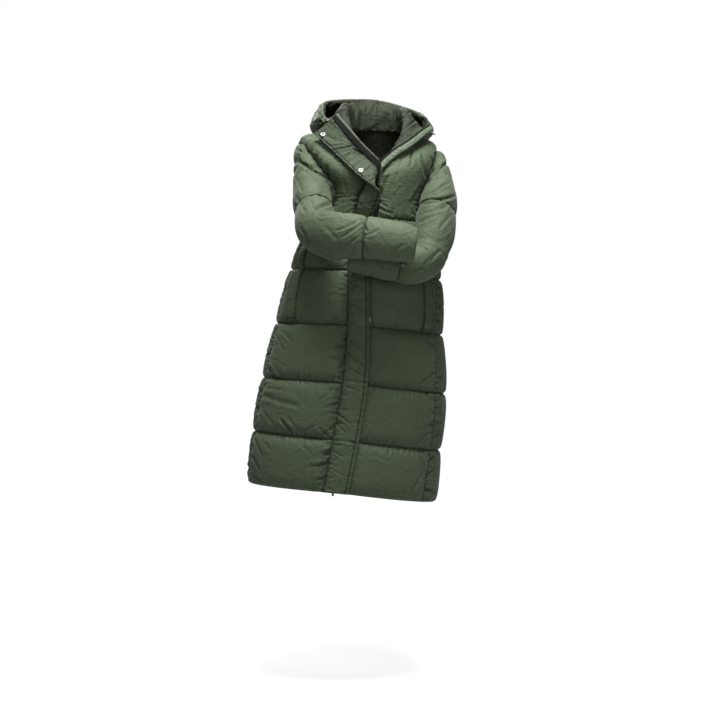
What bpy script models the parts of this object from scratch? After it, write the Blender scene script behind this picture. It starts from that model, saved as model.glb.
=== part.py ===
"""A hooded long down coat in its worn shape, built as the pieces that are cut and sewn.

Metres, +Z up. The coat faces -Y and the wearer's left is +X. The origin is where the coat hangs on
its wearer, between the shoulders at the base of the neck.

The body is one surface in two parameters: a row number, counted from the hem up to the neck seam,
and an angle round the body, 0 at the front and growing towards the wearer's left. Panels, flap,
welts and tapes are all cut from that surface and moved out or in from it.
"""

import math
from typing import NamedTuple

import bmesh
import bpy
import numpy as np

SEAM_GAP = 0.0003
ARMHOLE_GAP = 0.0005    # wider, since the ring's chords cut its curve
HOOD_LINING_GAP = 0.0009
WALL = 0.004            # cloth, down and lining pressed together at a seam
BODY_PUFF = 0.013       # how far a baffle stands above its seams
SLEEVE_PUFF = 0.010
RAMP = 0.045            # distance from an edge seam at which a baffle is full
FLAT_RAMP = 0.09        # the same beside the zip, where the flap presses it
FLAP_THICKNESS = 0.005
FLAP_RISE = 0.009       # the flap spans the channel above the zip
FLAP_SNAP_LIFT = 0.004  # its edge stands off the stud of the waist snap
LAPEL_BOW = 0.003
TAPE_ANGLE = 2.3        # degrees that a tape shows beside its edge
TAPE_THICKNESS = 0.0025
WELT_THICKNESS = 0.004
WELT_RISE = 0.004       # a welt bridges the valleys of the quilt lines
TRIM_GAP = 0.0008       # under snaps and welts, which lie on curved cloth
TAPE_DEPTH = 0.0005     # the tapes lie this far inside the fronts' edges
LINING_THICKNESS = 0.0015
RIBBON_THICKNESS = 0.003

BAFFLE_STEPS = (0.0, 0.18, 0.5, 0.82)
SLEEVE_STEPS = (0.0, 0.25, 0.75)
ARMHOLE_STEPS = 8
LAST_QUILT_ROW = 5      # rows 0 to 5 are quilt lines, row 5 runs under the arms
SHOULDER_ROW = 7
NECK_ROW = 9


class BodyRow(NamedTuple):
    """One ring of the body, square to its leaning axis."""

    name: str
    height: float        # at the sides
    front_drop: float    # added at centre front
    back_drop: float     # added at centre back
    centre_x: float
    centre_y: float
    half_width: float
    front_depth: float
    back_depth: float
    tilt_right: float    # fall per metre towards the wearer's left, on the right half
    tilt_left: float     # the same on the left half


BODY_ROWS = (
    BodyRow("hem", -0.959, 0.0, 0.0, -0.081, 0.005, 0.253, 0.180, 0.185, 0.070, 0.137),
    BodyRow("shin line", -0.8195, 0.0, 0.0, -0.067, 0.005, 0.251, 0.176, 0.178, 0.082, 0.131),
    BodyRow("thigh line", -0.669, 0.0, 0.0, -0.047, 0.004, 0.245, 0.168, 0.170, 0.065, 0.118),
    BodyRow("hip line", -0.515, 0.0, 0.0, -0.033, 0.003, 0.223, 0.156, 0.160, 0.045, 0.100),
    BodyRow("waist line", -0.369, 0.0, 0.0, -0.015, 0.004, 0.201, 0.143, 0.148, 0.060, 0.085),
    BodyRow("underarm line", -0.225, 0.0, 0.0, 0.0, 0.002, 0.160, 0.140, 0.130, 0.050, 0.050),
    BodyRow("chest", -0.130, -0.020, 0.0, 0.002, 0.002, 0.160, 0.143, 0.125, 0.050, 0.050),
    BodyRow("shoulder tip", -0.020, -0.099, -0.030, -0.007, 0.0, 0.184, 0.146, 0.122, 0.060, 0.060),
    BodyRow("mid shoulder", 0.009, -0.108, -0.012, 0.0, -0.002, 0.135, 0.140, 0.105, 0.050, 0.050),
    BodyRow("neck seam", 0.028, -0.105, 0.008, 0.012, -0.012, 0.088, 0.128, 0.095, 0.040, 0.040),
)
TILT_BLEND = 0.03        # half width of the middle strip where one tilt turns into the other


class FrontRow(NamedTuple):
    """Where the front's long lines cross one body row: x of each, and the side seams' angles."""

    right_edge: float
    left_edge: float
    flap_seam: float
    flap_edge: float
    right_seam: float    # degrees
    left_seam: float


FRONT_ROWS = (
    FrontRow(-0.1104, -0.0984, -0.1275, -0.0625, -84.0, 59.0),
    FrontRow(-0.0856, -0.0736, -0.1016, -0.0358, -79.0, 63.8),
    FrontRow(-0.0600, -0.0480, -0.0760, -0.0121, -76.0, 63.5),
    FrontRow(-0.0474, -0.0354, -0.0634, -0.0077, -80.0, 66.0),
    FrontRow(-0.0430, -0.0310, -0.0600, -0.0077, -80.0, 68.0),
    FrontRow(0.004, 0.016, -0.0440, 0.0015, -59.0, 65.0),
    FrontRow(0.006, 0.022, -0.0236, 0.0150, -62.0, 82.0),
    FrontRow(0.004, 0.026, -0.0080, 0.0150, -72.0, 92.0),
    FrontRow(-0.012, 0.036, -0.0240, 0.0, -80.0, 92.0),
    FrontRow(-0.0356, 0.050, -0.0476, 0.0, -88.0, 92.0),
)
ARMHOLE_HALF_ANGLE = 23.0

MAIN_COLUMNS = (0.0, 0.05, 0.18, 0.39, 0.61, 0.82, 0.95, 1.0)
BACK_COLUMNS = (0.0, 0.025, 0.09, 0.21, 0.345, 0.5, 0.655, 0.79, 0.91, 0.975, 1.0)
HOOD_SPLIT_COLUMNS = (4, 6)  # of BACK_COLUMNS, where the hood's centre strip is sewn in
FLAP_COLUMNS = (0.0, 0.25, 0.75, 1.0)
SNAP_COLUMN = 2                # of FLAP_COLUMNS


class RibbonStation(NamedTuple):
    """The two long edges of a strip at one place along it."""

    seam: tuple[float, float, float]
    edge: tuple[float, float, float]


# The storm flap above the arms: it twists about its seam and folds open as a lapel.
OPEN_FLAP = (
    RibbonStation((-0.0356, -0.151, -0.185), (0.0170, -0.172, -0.190)),
    RibbonStation((-0.0196, -0.157, -0.148), (0.0250, -0.190, -0.165)),
    RibbonStation((0.0010, -0.162, -0.121), (0.0180, -0.200, -0.159)),
    RibbonStation((0.0140, -0.161, -0.099), (-0.0010, -0.198, -0.144)),
    RibbonStation((-0.0060, -0.153, -0.075), (-0.0360, -0.181, -0.116)),
    RibbonStation((-0.0360, -0.138, -0.045), (-0.0730, -0.155, -0.079)),
    RibbonStation((-0.0730, -0.122, -0.001), (-0.1130, -0.126, -0.037)),
    RibbonStation((-0.1080, -0.098, 0.042), (-0.1540, -0.094, 0.004)),
)
# The light band that binds the left front from the chest to the hood's rim.
BINDING = (
    RibbonStation((0.0228, -0.1425, -0.148), (0.0320, -0.1440, -0.148)),
    RibbonStation((0.0140, -0.1490, -0.120), (0.0265, -0.1510, -0.118)),
    RibbonStation((0.0165, -0.1500, -0.098), (0.0270, -0.1535, -0.101)),
    RibbonStation((0.0290, -0.1450, -0.077), (0.0370, -0.1490, -0.088)),
    RibbonStation((0.0480, -0.1370, -0.058), (0.0550, -0.1410, -0.070)),
    RibbonStation((0.0690, -0.1302, -0.041), (0.0760, -0.1340, -0.053)),
    RibbonStation((0.0880, -0.1248, -0.029), (0.0950, -0.1288, -0.041)),
    RibbonStation((0.1090, -0.1130, -0.013), (0.1160, -0.1160, -0.025)),
    RibbonStation((0.1370, -0.0910, 0.011), (0.1450, -0.0930, 0.001)),
    RibbonStation((0.1590, -0.0690, 0.029), (0.1680, -0.0700, 0.020)),
)


class SleeveStation(NamedTuple):
    """The sleeve's full outline where it is this far along."""

    x: float
    y: float
    z: float
    high: float          # half extent across the arm, in the upright plane
    side: float          # half extent across the arm, level


RIGHT_SLEEVE = (
    SleeveStation(-0.158, -0.110, -0.175, 0.062, 0.054),
    SleeveStation(-0.150, -0.156, -0.220, 0.060, 0.054),
    SleeveStation(-0.140, -0.205, -0.260, 0.062, 0.056),
    SleeveStation(-0.105, -0.250, -0.277, 0.066, 0.050),
    SleeveStation(-0.055, -0.281, -0.284, 0.061, 0.043),
    SleeveStation(0.000, -0.289, -0.291, 0.056, 0.041),
    SleeveStation(0.055, -0.291, -0.299, 0.053, 0.040),
    SleeveStation(0.113, -0.289, -0.307, 0.046, 0.040),
)
LEFT_SLEEVE = (
    SleeveStation(0.180, -0.085, -0.175, 0.062, 0.052),
    SleeveStation(0.173, -0.122, -0.225, 0.060, 0.054),
    SleeveStation(0.165, -0.150, -0.280, 0.056, 0.054),
    SleeveStation(0.142, -0.170, -0.332, 0.053, 0.052),
    SleeveStation(0.105, -0.188, -0.351, 0.052, 0.042),
    SleeveStation(0.055, -0.194, -0.347, 0.052, 0.038),
    SleeveStation(0.000, -0.197, -0.338, 0.050, 0.036),
    SleeveStation(-0.058, -0.198, -0.326, 0.046, 0.036),
)
RIGHT_SLEEVE_LINES = (0.035, 0.120, 0.245, 0.360)   # metres along, from the armhole
LEFT_SLEEVE_LINES = (0.035, 0.120, 0.235, 0.340)


class HoodStation(NamedTuple):
    """One line of the hood, from the neck seam over the collar stand and the bag to the rim."""

    neck_angle: float
    crest: tuple[float, float, float]
    slope: tuple[float, float, float]
    floor: tuple[float, float, float]
    belly: tuple[float, float, float]
    rim: tuple[float, float, float]


HOOD = (
    HoodStation(-33.0, (-0.052, -0.121, -0.022), (-0.066, -0.117, -0.006), (-0.079, -0.112, 0.010),
                (-0.092, -0.103, 0.026), (-0.108, -0.088, 0.043)),
    HoodStation(-55.0, (-0.070, -0.068, 0.050), (-0.096, -0.058, 0.040), (-0.118, -0.060, 0.032),
                (-0.135, -0.062, 0.041), (-0.130, -0.055, 0.060)),
    HoodStation(-90.0, (-0.072, -0.006, 0.084), (-0.098, -0.001, 0.054), (-0.126, 0.000, 0.034),
                (-0.149, 0.001, 0.041), (-0.135, 0.010, 0.090)),
    HoodStation(-135.0, (-0.056, 0.062, 0.098), (-0.088, 0.090, 0.046), (-0.126, 0.118, 0.012),
                (-0.152, 0.130, 0.052), (-0.118, 0.090, 0.123)),
    HoodStation(-180.0, (0.012, 0.088, 0.104), (0.012, 0.130, 0.030), (0.012, 0.174, -0.050),
                (0.012, 0.214, 0.030), (0.010, 0.150, 0.135)),
    HoodStation(-225.0, (0.078, 0.060, 0.090), (0.108, 0.090, 0.036), (0.140, 0.118, 0.004),
                (0.158, 0.128, 0.042), (0.113, 0.095, 0.100)),
    HoodStation(-270.0, (0.094, -0.006, 0.070), (0.116, -0.001, 0.042), (0.138, 0.000, 0.024),
                (0.154, 0.003, 0.032), (0.147, 0.024, 0.069)),
    HoodStation(-310.0, (0.092, -0.075, 0.016), (0.110, -0.071, 0.010), (0.130, -0.066, 0.008),
                (0.148, -0.054, 0.015), (0.160, -0.024, 0.044)),
    HoodStation(-334.0, (0.072, -0.121, -0.045), (0.090, -0.116, -0.032), (0.112, -0.104, -0.016),
                (0.140, -0.083, 0.006), (0.165, -0.058, 0.025)),
)
# Places along a hood line, 0 at the neck seam and 5 at the rim, and how full the down is there.
HOOD_STEPS = (0.0, 0.4, 0.8, 1.0, 1.2, 1.5, 2.0, 2.5, 3.0, 3.4, 4.0, 4.5, 4.8, 5.0)
HOOD_PUFFS = (0.0, 0.001, 0.0, 0.0, 0.0, 0.0005, 0.002, 0.004, 0.006, 0.006, 0.006, 0.0045, 0.0025, 0.0)


class WeltEnd(NamedTuple):
    """One end of a pocket welt: its body row and the angles of its two long edges."""

    row: float
    inner: float
    outer: float


RIGHT_WELT = (WeltEnd(3.06, -46.5, -58.0), WeltEnd(4.40, -55.0, -70.0))
LEFT_WELT = (WeltEnd(3.03, 47.0, 58.0), WeltEnd(4.35, 44.5, 56.0))

WAIST_SNAP_ROW = 3.14
LAPEL_SNAPS = (("snap_top", 1), ("snap_chest", 9))  # name, flap rows down from its top
SNAP_RADIUS = 0.0075
SNAP_HEIGHT = 0.003
SLIDER_WIDTH, SLIDER_HEIGHT, SLIDER_DEPTH = 0.0084, 0.013, 0.0022
BAIL_WIDTH, BAIL_BAR, BAIL_CLEAR, BAIL_HALF = 0.0016, 0.001, 0.0028, 0.0052
PULL_WIDTH, PULL_LENGTH, PULL_DEPTH = 0.0058, 0.022, 0.0012
PULL_SLOT_WIDTH, PULL_SLOT_LENGTH, PULL_BAR = 0.0030, 0.0062, 0.0012
UPPER_SLIDER_ROW, LOWER_SLIDER_ROW = 4.95, 0.10
EYELET_RADIUS, EYELET_TUBE = 0.004, 0.0011
EYELET_STEP = 11               # of HOOD_STEPS
EYELETS = (("right", -44.0, 0.0058), ("left", -322.0, 0.0074))  # side, neck angle, stand
HOOD_SEAM_ANGLE = 0.3          # degrees of neck angle left free on each side of a hood seam
STOPPER_RADIUS, STOPPER_LENGTH = 0.003, 0.013


def clear_scene():
    for item in list(bpy.data.objects):
        bpy.data.objects.remove(item, do_unlink=True)


def finish(name, colour, roughness, metallic=0.0):
    """A plain material for one sub-part."""
    material = bpy.data.materials.new(name)
    material.use_nodes = True
    shader = material.node_tree.nodes["Principled BSDF"]
    shader.inputs["Base Color"].default_value = (*colour, 1.0)
    shader.inputs["Roughness"].default_value = roughness
    shader.inputs["Metallic"].default_value = metallic
    return material


def curve_through(table, where):
    """Smooth curves through a table's rows, read at fractional row numbers."""
    table = np.asarray(table, float)
    where = np.asarray(where, float)
    last = len(table) - 1
    low = np.clip(np.floor(where).astype(int), 0, last - 1)
    part = (where - low)[..., None]
    slopes = np.gradient(table, axis=0)
    start, end = table[low], table[low + 1]
    rise, fall = slopes[low], slopes[low + 1]
    square, cube = part**2, part**3
    return ((2 * cube - 3 * square + 1) * start + (cube - 2 * square + part) * rise
            + (3 * square - 2 * cube) * end + (cube - square) * fall)


BODY_TABLE = np.array([row[1:] for row in BODY_ROWS])
FRONT_TABLE = np.array(FRONT_ROWS)


def body_point(row, angle):
    """Points of the body's seam-level surface; angle in degrees."""
    row, angle = np.broadcast_arrays(np.asarray(row, float), np.asarray(angle, float))
    (height, front_drop, back_drop, centre_x, centre_y, half_width, front_depth, back_depth,
     tilt_right, tilt_left) = np.moveaxis(curve_through(BODY_TABLE, row), -1, 0)
    across, along = np.sin(np.radians(angle)), np.cos(np.radians(angle))
    front = along > 0
    side = half_width * across
    depth = np.where(front, front_depth, back_depth) * along
    drop = np.where(front, front_drop, back_drop) * along**2
    reach = np.sqrt(side**2 + TILT_BLEND**2) - TILT_BLEND
    fall = 0.5 * (tilt_right + tilt_left) * side + 0.5 * (tilt_left - tilt_right) * reach
    return np.stack([centre_x + side, centre_y - depth, height + drop - fall], axis=-1)


def unit(vectors):
    return vectors / np.linalg.norm(vectors, axis=-1, keepdims=True)


def body_normal(row, angle):
    row = np.asarray(row, float)
    step = 0.01
    low, high = np.maximum(row - step, 0), np.minimum(row + step, NECK_ROW)
    up = body_point(high, angle) - body_point(low, angle)
    round_ = body_point(row, np.asarray(angle) + 0.5) - body_point(row, np.asarray(angle) - 0.5)
    return unit(np.cross(round_, up))


def body_offset(row, angle, distance):
    """The body surface moved out by a distance."""
    return body_point(row, angle) + body_normal(row, angle) * np.asarray(distance)[..., None]


def angle_at(row, x):
    """The angle at which a body row reaches this x on its front."""
    values = curve_through(BODY_TABLE, row)
    share = (x - values[..., 3]) / values[..., 5]
    return np.degrees(np.arcsin(np.clip(share, -0.99, 0.99)))


def front_line(row, column):
    """The angle of one of the front's long lines, by its FrontRow column."""
    index = FrontRow._fields.index(column)
    return angle_at(row, curve_through(FRONT_TABLE, row)[..., index])


def side_line(row, side, panel):
    """The angle of the front's or back's outer boundary: side seam, armhole, shoulder seam."""
    column = "right_seam" if side < 0 else "left_seam"
    centre = curve_through(FRONT_TABLE, row)[..., FrontRow._fields.index(column)]
    middle = (LAST_QUILT_ROW + SHOULDER_ROW) / 2
    reach = (SHOULDER_ROW - LAST_QUILT_ROW) / 2
    open_ = np.sqrt(np.clip(1 - ((np.asarray(row) - middle) / reach) ** 2, 0, None))
    towards_front = -side if panel == "front" else side
    return centre + towards_front * ARMHOLE_HALF_ANGLE * open_


def half_gap_angle(row):
    """Half of a seam's gap as an angle in degrees."""
    return np.degrees(SEAM_GAP / 2 / curve_through(BODY_TABLE, row)[..., 5])


def pillow(share):
    """A baffle's height across it, 0 at its two seams and 1 in the middle."""
    return np.clip(1 - np.abs(2 * share - 1) ** 3, 0, 1) ** 0.55


def ramp(distance, reach, softness=0.5):
    """Height beside an edge seam, up to full at reach; a quarter circle at softness 0.5."""
    left = np.clip(1 - distance / reach, 0, 1)
    return (1 - left**2) ** softness


def baffle_share(row, back):
    """How far a row lies across its baffle."""
    row = np.asarray(row, float)
    first_tall = LAST_QUILT_ROW + (1 if back else 0)
    tall = (row - first_tall) / (NECK_ROW - first_tall)
    return np.where(row < first_tall, row - np.floor(row), tall)


def pressed(row, angle):
    """Baffles are flatter at the sides, and under the hood's weight on the shoulders."""
    sides = 1 - 0.35 * np.abs(np.sin(np.radians(angle))) ** 4
    return sides * (1 - 0.6 * np.clip((np.asarray(row, float) - 6.3) / 1.5, 0, 1))


def underarm_ease(row):
    """The fronts are flatter where the folded arms lie on them."""
    return 1 - 0.4 * np.exp(-((np.asarray(row, float) - 5.0) / 1.2) ** 2)


def seam_softness(row):
    """A side seam is deep, an armhole shallow, since the sleeve leans over it."""
    return np.where(np.asarray(row) > LAST_QUILT_ROW - 0.3, 0.95, 0.55)


def girth_step(row):
    """Metres of girth per degree, roughly."""
    values = curve_through(BODY_TABLE, row)
    return np.radians(1) * 0.5 * (values[..., 5] + values[..., 6])


def panel_puff(row, angle, panel):
    """How far a panel's outer face stands above the seam-level surface."""
    step, soft = girth_step(row), seam_softness(row)
    back = panel == "back"
    tall = pillow(baffle_share(row, back)) * BODY_PUFF * pressed(row, angle)
    if back:
        start = side_line(row, -1, "back") - angle
        end = angle - (side_line(row, 1, "back") - 360)
        return tall * ramp(start * step, RAMP, soft) * ramp(end * step, RAMP, soft)
    tall = tall * underarm_ease(row)
    if panel == "front_left":
        start = angle - front_line(row, "left_edge")
        end = side_line(row, 1, "front") - angle
        return tall * ramp(start * step, FLAT_RAMP, 0.9) * ramp(end * step, RAMP, soft)
    start = front_line(row, "flap_seam") - angle
    end = angle - side_line(row, -1, "front")
    return tall * ramp(np.maximum(start, 0) * step, RAMP) * ramp(end * step, RAMP, soft)


def add_solid(name, points, faces, material):
    """One closed body from points and faces, its faces pointing out."""
    mesh = bpy.data.meshes.new(name)
    mesh.from_pydata([tuple(point) for point in points], [], faces)
    work = bmesh.new()
    work.from_mesh(mesh)
    bmesh.ops.recalc_face_normals(work, faces=work.faces)
    work.to_mesh(mesh)
    work.free()
    mesh.materials.append(material)
    mesh.shade_smooth()
    mesh.set_sharp_from_angle(angle=math.radians(50))
    piece = bpy.data.objects.new(name, mesh)
    bpy.context.collection.objects.link(piece)
    return piece


def sheet_faces(rows, columns, start, closed, flip):
    """Triangles over a grid of points that begins at a vertex number, all cut the same way."""
    faces = []
    last = columns if closed else columns - 1
    for row in range(rows - 1):
        for column in range(last):
            after = (column + 1) % columns
            low, low_next = start + row * columns + column, start + row * columns + after
            high, high_next = low + columns, low_next + columns
            for corners in ((low, low_next, high_next), (low, high_next, high)):
                faces.append(corners[::-1] if flip else corners)
    return faces


def wall_solid(name, outer, inner, material, closed=False):
    """A wall between two grids of points; a closed grid is a tube, open at both ends."""
    rows, columns = outer.shape[:2]
    count = rows * columns
    faces = sheet_faces(rows, columns, 0, closed, False) + sheet_faces(rows, columns, count, closed, True)
    if closed:
        loops = [list(range(columns)) + [0],
                 [(rows - 1) * columns + column for column in [*range(columns), 0]]]
    else:
        loops = [[*range(columns),
                  *[row * columns + columns - 1 for row in range(1, rows)],
                  *[(rows - 1) * columns + column for column in range(columns - 2, -1, -1)],
                  *[row * columns for row in range(rows - 2, -1, -1)]]]
    for loop in loops:
        for here, after in zip(loop, loop[1:]):
            faces.append([here, after, after + count, here + count])
    points = np.concatenate([outer.reshape(-1, 3), inner.reshape(-1, 3)])
    return add_solid(name, points, faces, material)


def quilt_rows(first, last):
    """Row numbers of the quilted part, a few for each baffle."""
    return [row + step for row in range(first, last) for step in BAFFLE_STEPS]


def body_rows():
    """Row numbers shared by every panel, so that their seams run side by side."""
    middle = (LAST_QUILT_ROW + SHOULDER_ROW) / 2
    reach = (SHOULDER_ROW - LAST_QUILT_ROW) / 2
    armhole = [middle - reach * math.cos(math.pi * step / ARMHOLE_STEPS) for step in range(ARMHOLE_STEPS)]
    shoulder = [SHOULDER_ROW, 7.4, 8.0, 8.5, NECK_ROW]
    return np.array(quilt_rows(0, LAST_QUILT_ROW) + armhole + shoulder)


def spread(start, end, shares):
    """Angles between two boundaries, a column for each share."""
    return start[:, None] + (end - start)[:, None] * np.asarray(shares)[None, :]


def panel_angles(panel):
    """The grid of angles of one panel."""
    rows = body_rows()
    gap = half_gap_angle(rows)
    if panel == "back":
        start = side_line(rows, -1, "back") - gap
        end = side_line(rows, 1, "back") - 360 + gap
        return rows, spread(start, end, BACK_COLUMNS)
    if panel == "front_left":
        start = front_line(rows, "left_edge")
        end = side_line(rows, 1, "front") - gap
        return rows, spread(start, end, MAIN_COLUMNS)
    seam = front_line(rows, "flap_seam")
    main = spread(side_line(rows, -1, "front") + gap, seam, MAIN_COLUMNS)
    placket = spread(seam, front_line(rows, "right_edge"), (0.5, 1.0))
    return rows, np.concatenate([main, placket], axis=1)


def build_panel(panel, material):
    rows, angles = panel_angles(panel)
    row_grid = np.broadcast_to(rows[:, None], angles.shape)
    outer = body_offset(row_grid, angles, panel_puff(row_grid, angles, panel))
    inner = body_offset(row_grid, angles, np.full(angles.shape, -WALL))
    wall_solid(panel, outer, inner, material)


def armhole_ring(side):
    """Row and angle of the armhole, from the shoulder down the front and up the back."""
    rows = body_rows()
    rows = rows[(rows >= LAST_QUILT_ROW) & (rows <= SHOULDER_ROW)]
    front = rows[::-1]
    back = rows[1:-1]
    around = np.concatenate([front, back])
    angle = np.concatenate([side_line(front, side, "front"), side_line(back, side, "back")])
    return around, angle


def turn_between(start, end):
    """The rotation that takes one unit vector to another the short way."""
    axis = np.cross(start, end)
    sine, cosine = np.linalg.norm(axis), float(np.dot(start, end))
    if sine < 1e-9:
        return np.eye(3)
    x, y, z = axis / sine
    cross = np.array([[0, -z, y], [z, 0, -x], [-y, x, 0]])
    return np.eye(3) + sine * cross + (1 - cosine) * cross @ cross


class Sleeve:
    """A tube from the armhole to the cuff."""

    def __init__(self, side, stations, lines):
        self.side = side
        self.table = np.array(stations)
        row, angle = armhole_ring(side)
        self.root_outer = body_point(row, angle)
        self.root_inner = body_offset(row, angle, np.full(row.shape, -WALL))
        self.hub = self.root_outer.mean(axis=0)
        self.seat_root()
        count = len(self.root_outer)
        across = np.cross(self.root_outer - self.hub, np.roll(self.root_outer - self.hub, -1, axis=0))
        plane = unit(across.sum(axis=0))
        self.out = plane * np.sign(plane[0]) * side
        top = self.root_outer[0] - self.hub
        top = unit(top - self.out * np.dot(top, self.out))
        side_ways = np.cross(self.out, top)
        spokes = self.root_outer - self.hub
        self.clock = np.unwrap(np.arctan2(spokes @ side_ways, spokes @ top))
        even = np.sign(self.clock[-1]) * np.arange(count) * 2 * math.pi / count
        self.clock = 0.5 * self.clock + 0.5 * even
        self.frames = self.carry_frames(top)
        steps = np.linalg.norm(np.diff(np.vstack([self.hub, self.table[:, :3]]), axis=0), axis=1)
        self.along = np.concatenate([[0], np.cumsum(steps)])
        self.length = self.along[-1]
        self.lines = (0.0, *lines, self.length)

    def seat_root(self):
        """Moves the root ring off the panels' edge by the seam's gap."""
        inward = unit(self.hub - self.root_outer)
        self.root_outer = self.root_outer + inward * ARMHOLE_GAP
        self.root_inner = self.root_inner + inward * ARMHOLE_GAP

    def direction(self, where):
        path = np.vstack([self.hub, self.table[:, :3]])
        low, high = np.clip([where - 0.25, where + 0.25], 0, len(path) - 1)
        ends = curve_through(path, np.array([low, high]))
        return unit(ends[1] - ends[0])

    def carry_frames(self, top):
        """The top direction carried along the arm without twist, at every quarter station."""
        frames = {}
        heading, marker = self.out, top
        for step in range(4 * len(self.table) + 1):
            where = step / 4
            ahead = self.direction(where) if where else self.out
            marker = turn_between(heading, ahead) @ marker
            heading = ahead
            frames[where] = (heading, marker)
        return frames

    def ring(self, where, shrink):
        """The tube's outline at a station number, shrunk by a distance."""
        path = np.vstack([self.hub, self.table[:, :3]])
        centre = curve_through(path, np.array(where))
        sizes = curve_through(self.table[:, 3:], np.array(max(where - 1, 0)))
        heading, marker = self.frames[round(where * 4) / 4]
        ahead = self.direction(where)
        marker = turn_between(heading, ahead) @ marker
        across = np.cross(ahead, marker)
        upright = np.array([0, 0, 1.0]) - ahead[2] * ahead
        upright = unit(upright)
        level = np.cross(ahead, upright)
        spokes = np.outer(np.cos(self.clock), marker) + np.outer(np.sin(self.clock), across)
        high, wide = sizes[0] - shrink, sizes[1] - shrink
        radius = 1 / np.sqrt((spokes @ upright / high) ** 2 + (spokes @ level / wide) ** 2)
        return centre + spokes * radius[:, None], spokes

    def section(self, metres, shrink, root, puff):
        """The outline this far along: a cap that grows from the armhole, then the tube."""
        where = float(np.interp(metres, self.along, np.arange(len(self.along))))
        if where >= 1:
            points, spokes = self.ring(where, shrink)
            return points + spokes * puff
        end, spokes = self.ring(1.0, shrink)
        span = np.linalg.norm(end - root, axis=1, keepdims=True)
        leave, arrive = self.out * span * 0.6, self.direction(1.0) * span
        square, cube = where**2, where**3
        points = ((2 * cube - 3 * square + 1) * root + (cube - 2 * square + where) * leave
                  + (3 * square - 2 * cube) * end + (cube - square) * arrive)
        lift = unit((1 - where) * (self.out + 0.6 * unit(root - self.hub)) + where * spokes)
        return points + lift * puff

    def build(self, name, material):
        places, heights = [], []
        for start, end in zip(self.lines, self.lines[1:]):
            for step in SLEEVE_STEPS:
                places.append(start + (end - start) * step)
                ease = min(1.0, 0.45 + 2.5 * start)
                heights.append(float(pillow(step)) * SLEEVE_PUFF * ease)
        places.append(self.length)
        heights.append(0.0)
        valley = SLEEVE_PUFF
        outer = [self.section(place, valley, self.root_outer, height)
                 for place, height in zip(places, heights)]
        inner = [self.section(place, valley + WALL, self.root_inner, 0.0) for place in places]
        wall_solid(name, np.array(outer), np.array(inner), material, closed=True)


def hood_columns():
    """Neck seam angles of the hood's columns: those of the panels' top rows."""
    right = panel_angles("front_right")[1][-1][::-1]
    back = panel_angles("back")[1][-1]
    left = panel_angles("front_left")[1][-1][::-1] - 360
    right[0], left[-1] = HOOD[0].neck_angle, HOOD[-1].neck_angle
    splits = [float(back[index]) for index in HOOD_SPLIT_COLUMNS]
    return np.concatenate([right, back[1:-1], left]), splits


def hood_grid(angles, into=0.0):
    """The hood's surface over the given neck angles, moved towards its lining by a distance."""
    neck_angles = np.array([station.neck_angle for station in HOOD])
    where = np.interp(-angles, -neck_angles, np.arange(len(HOOD)))

    def points(places):
        guides = [curve_through([station[guide] for station in HOOD], places) for guide in range(1, 6)]
        angle = np.interp(places, np.arange(len(HOOD)), neck_angles)
        neck = body_point(NECK_ROW, angle)
        toward_neck = unit(neck - body_point(NECK_ROW - 0.1, angle))
        neck = neck + toward_neck * SEAM_GAP
        stack = np.stack([neck, *guides])
        return curve_through(stack.reshape(6, -1), np.array(HOOD_STEPS)).reshape(len(HOOD_STEPS), -1, 3)

    grid = points(where)
    last = len(HOOD) - 1
    shifted = points(np.clip(where + 0.01, 0, last)) - points(np.clip(where - 0.01, 0, last))
    rise = np.gradient(grid, axis=0)
    lining_way = unit(np.cross(shifted, rise))
    return grid + lining_way * into, lining_way


def build_hood(shell, lining):
    columns, splits = hood_columns()
    puff = np.array(HOOD_PUFFS)
    bounds = [columns[0] + 1, *splits, columns[-1] - 1]
    for name, start, end in zip(("hood_right", "hood_centre", "hood_left"), bounds, bounds[1:]):
        own = columns[(columns < start - 1e-6) & (columns > end + 1e-6)]
        if name != "hood_right":
            own = np.concatenate([[start - HOOD_SEAM_ANGLE], own])
        if name != "hood_left":
            own = np.concatenate([own, [end + HOOD_SEAM_ANGLE]])
        grid, lining_way = hood_grid(own)
        share = np.linspace(0, 1, len(own))
        height = puff[:, None] * pillow(share)[None, :]
        outer = grid - lining_way * height[..., None]
        inner = grid + lining_way * WALL
        wall_solid(name, outer, inner, shell)
    near, lining_way = hood_grid(columns, WALL + HOOD_LINING_GAP)
    wall_solid("hood_lining", near + lining_way * LINING_THICKNESS, near, lining)


def ribbon(stations, columns, bow=0.0):
    """Points across a strip and the way its outer side faces."""
    seams = np.array([station.seam for station in stations])
    edges = np.array([station.edge for station in stations])
    shares = np.asarray(columns)[None, :, None]
    points = seams[:, None, :] * (1 - shares) + edges[:, None, :] * shares
    along = np.gradient(points, axis=0)
    across = np.gradient(points, axis=1)
    outward = unit(np.cross(across, along))
    return points + outward * bow * (4 * shares * (1 - shares)), outward


def fine_stations(stations, per_span):
    """A strip's stations, with more read between them on smooth curves."""
    where = np.linspace(0, len(stations) - 1, (len(stations) - 1) * per_span + 1)
    seams = curve_through([station.seam for station in stations], where)
    edges = curve_through([station.edge for station in stations], where)
    return [RibbonStation(tuple(seam), tuple(edge)) for seam, edge in zip(seams, edges)]


def front_height(row, angle):
    """The outer face of whichever front lies at this angle."""
    left = angle > front_line(row, "left_edge")
    right = angle < front_line(row, "flap_seam")
    height = np.where(left, panel_puff(row, angle, "front_left"), 0.0)
    return np.where(right, panel_puff(row, angle, "front_right"), height)


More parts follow.
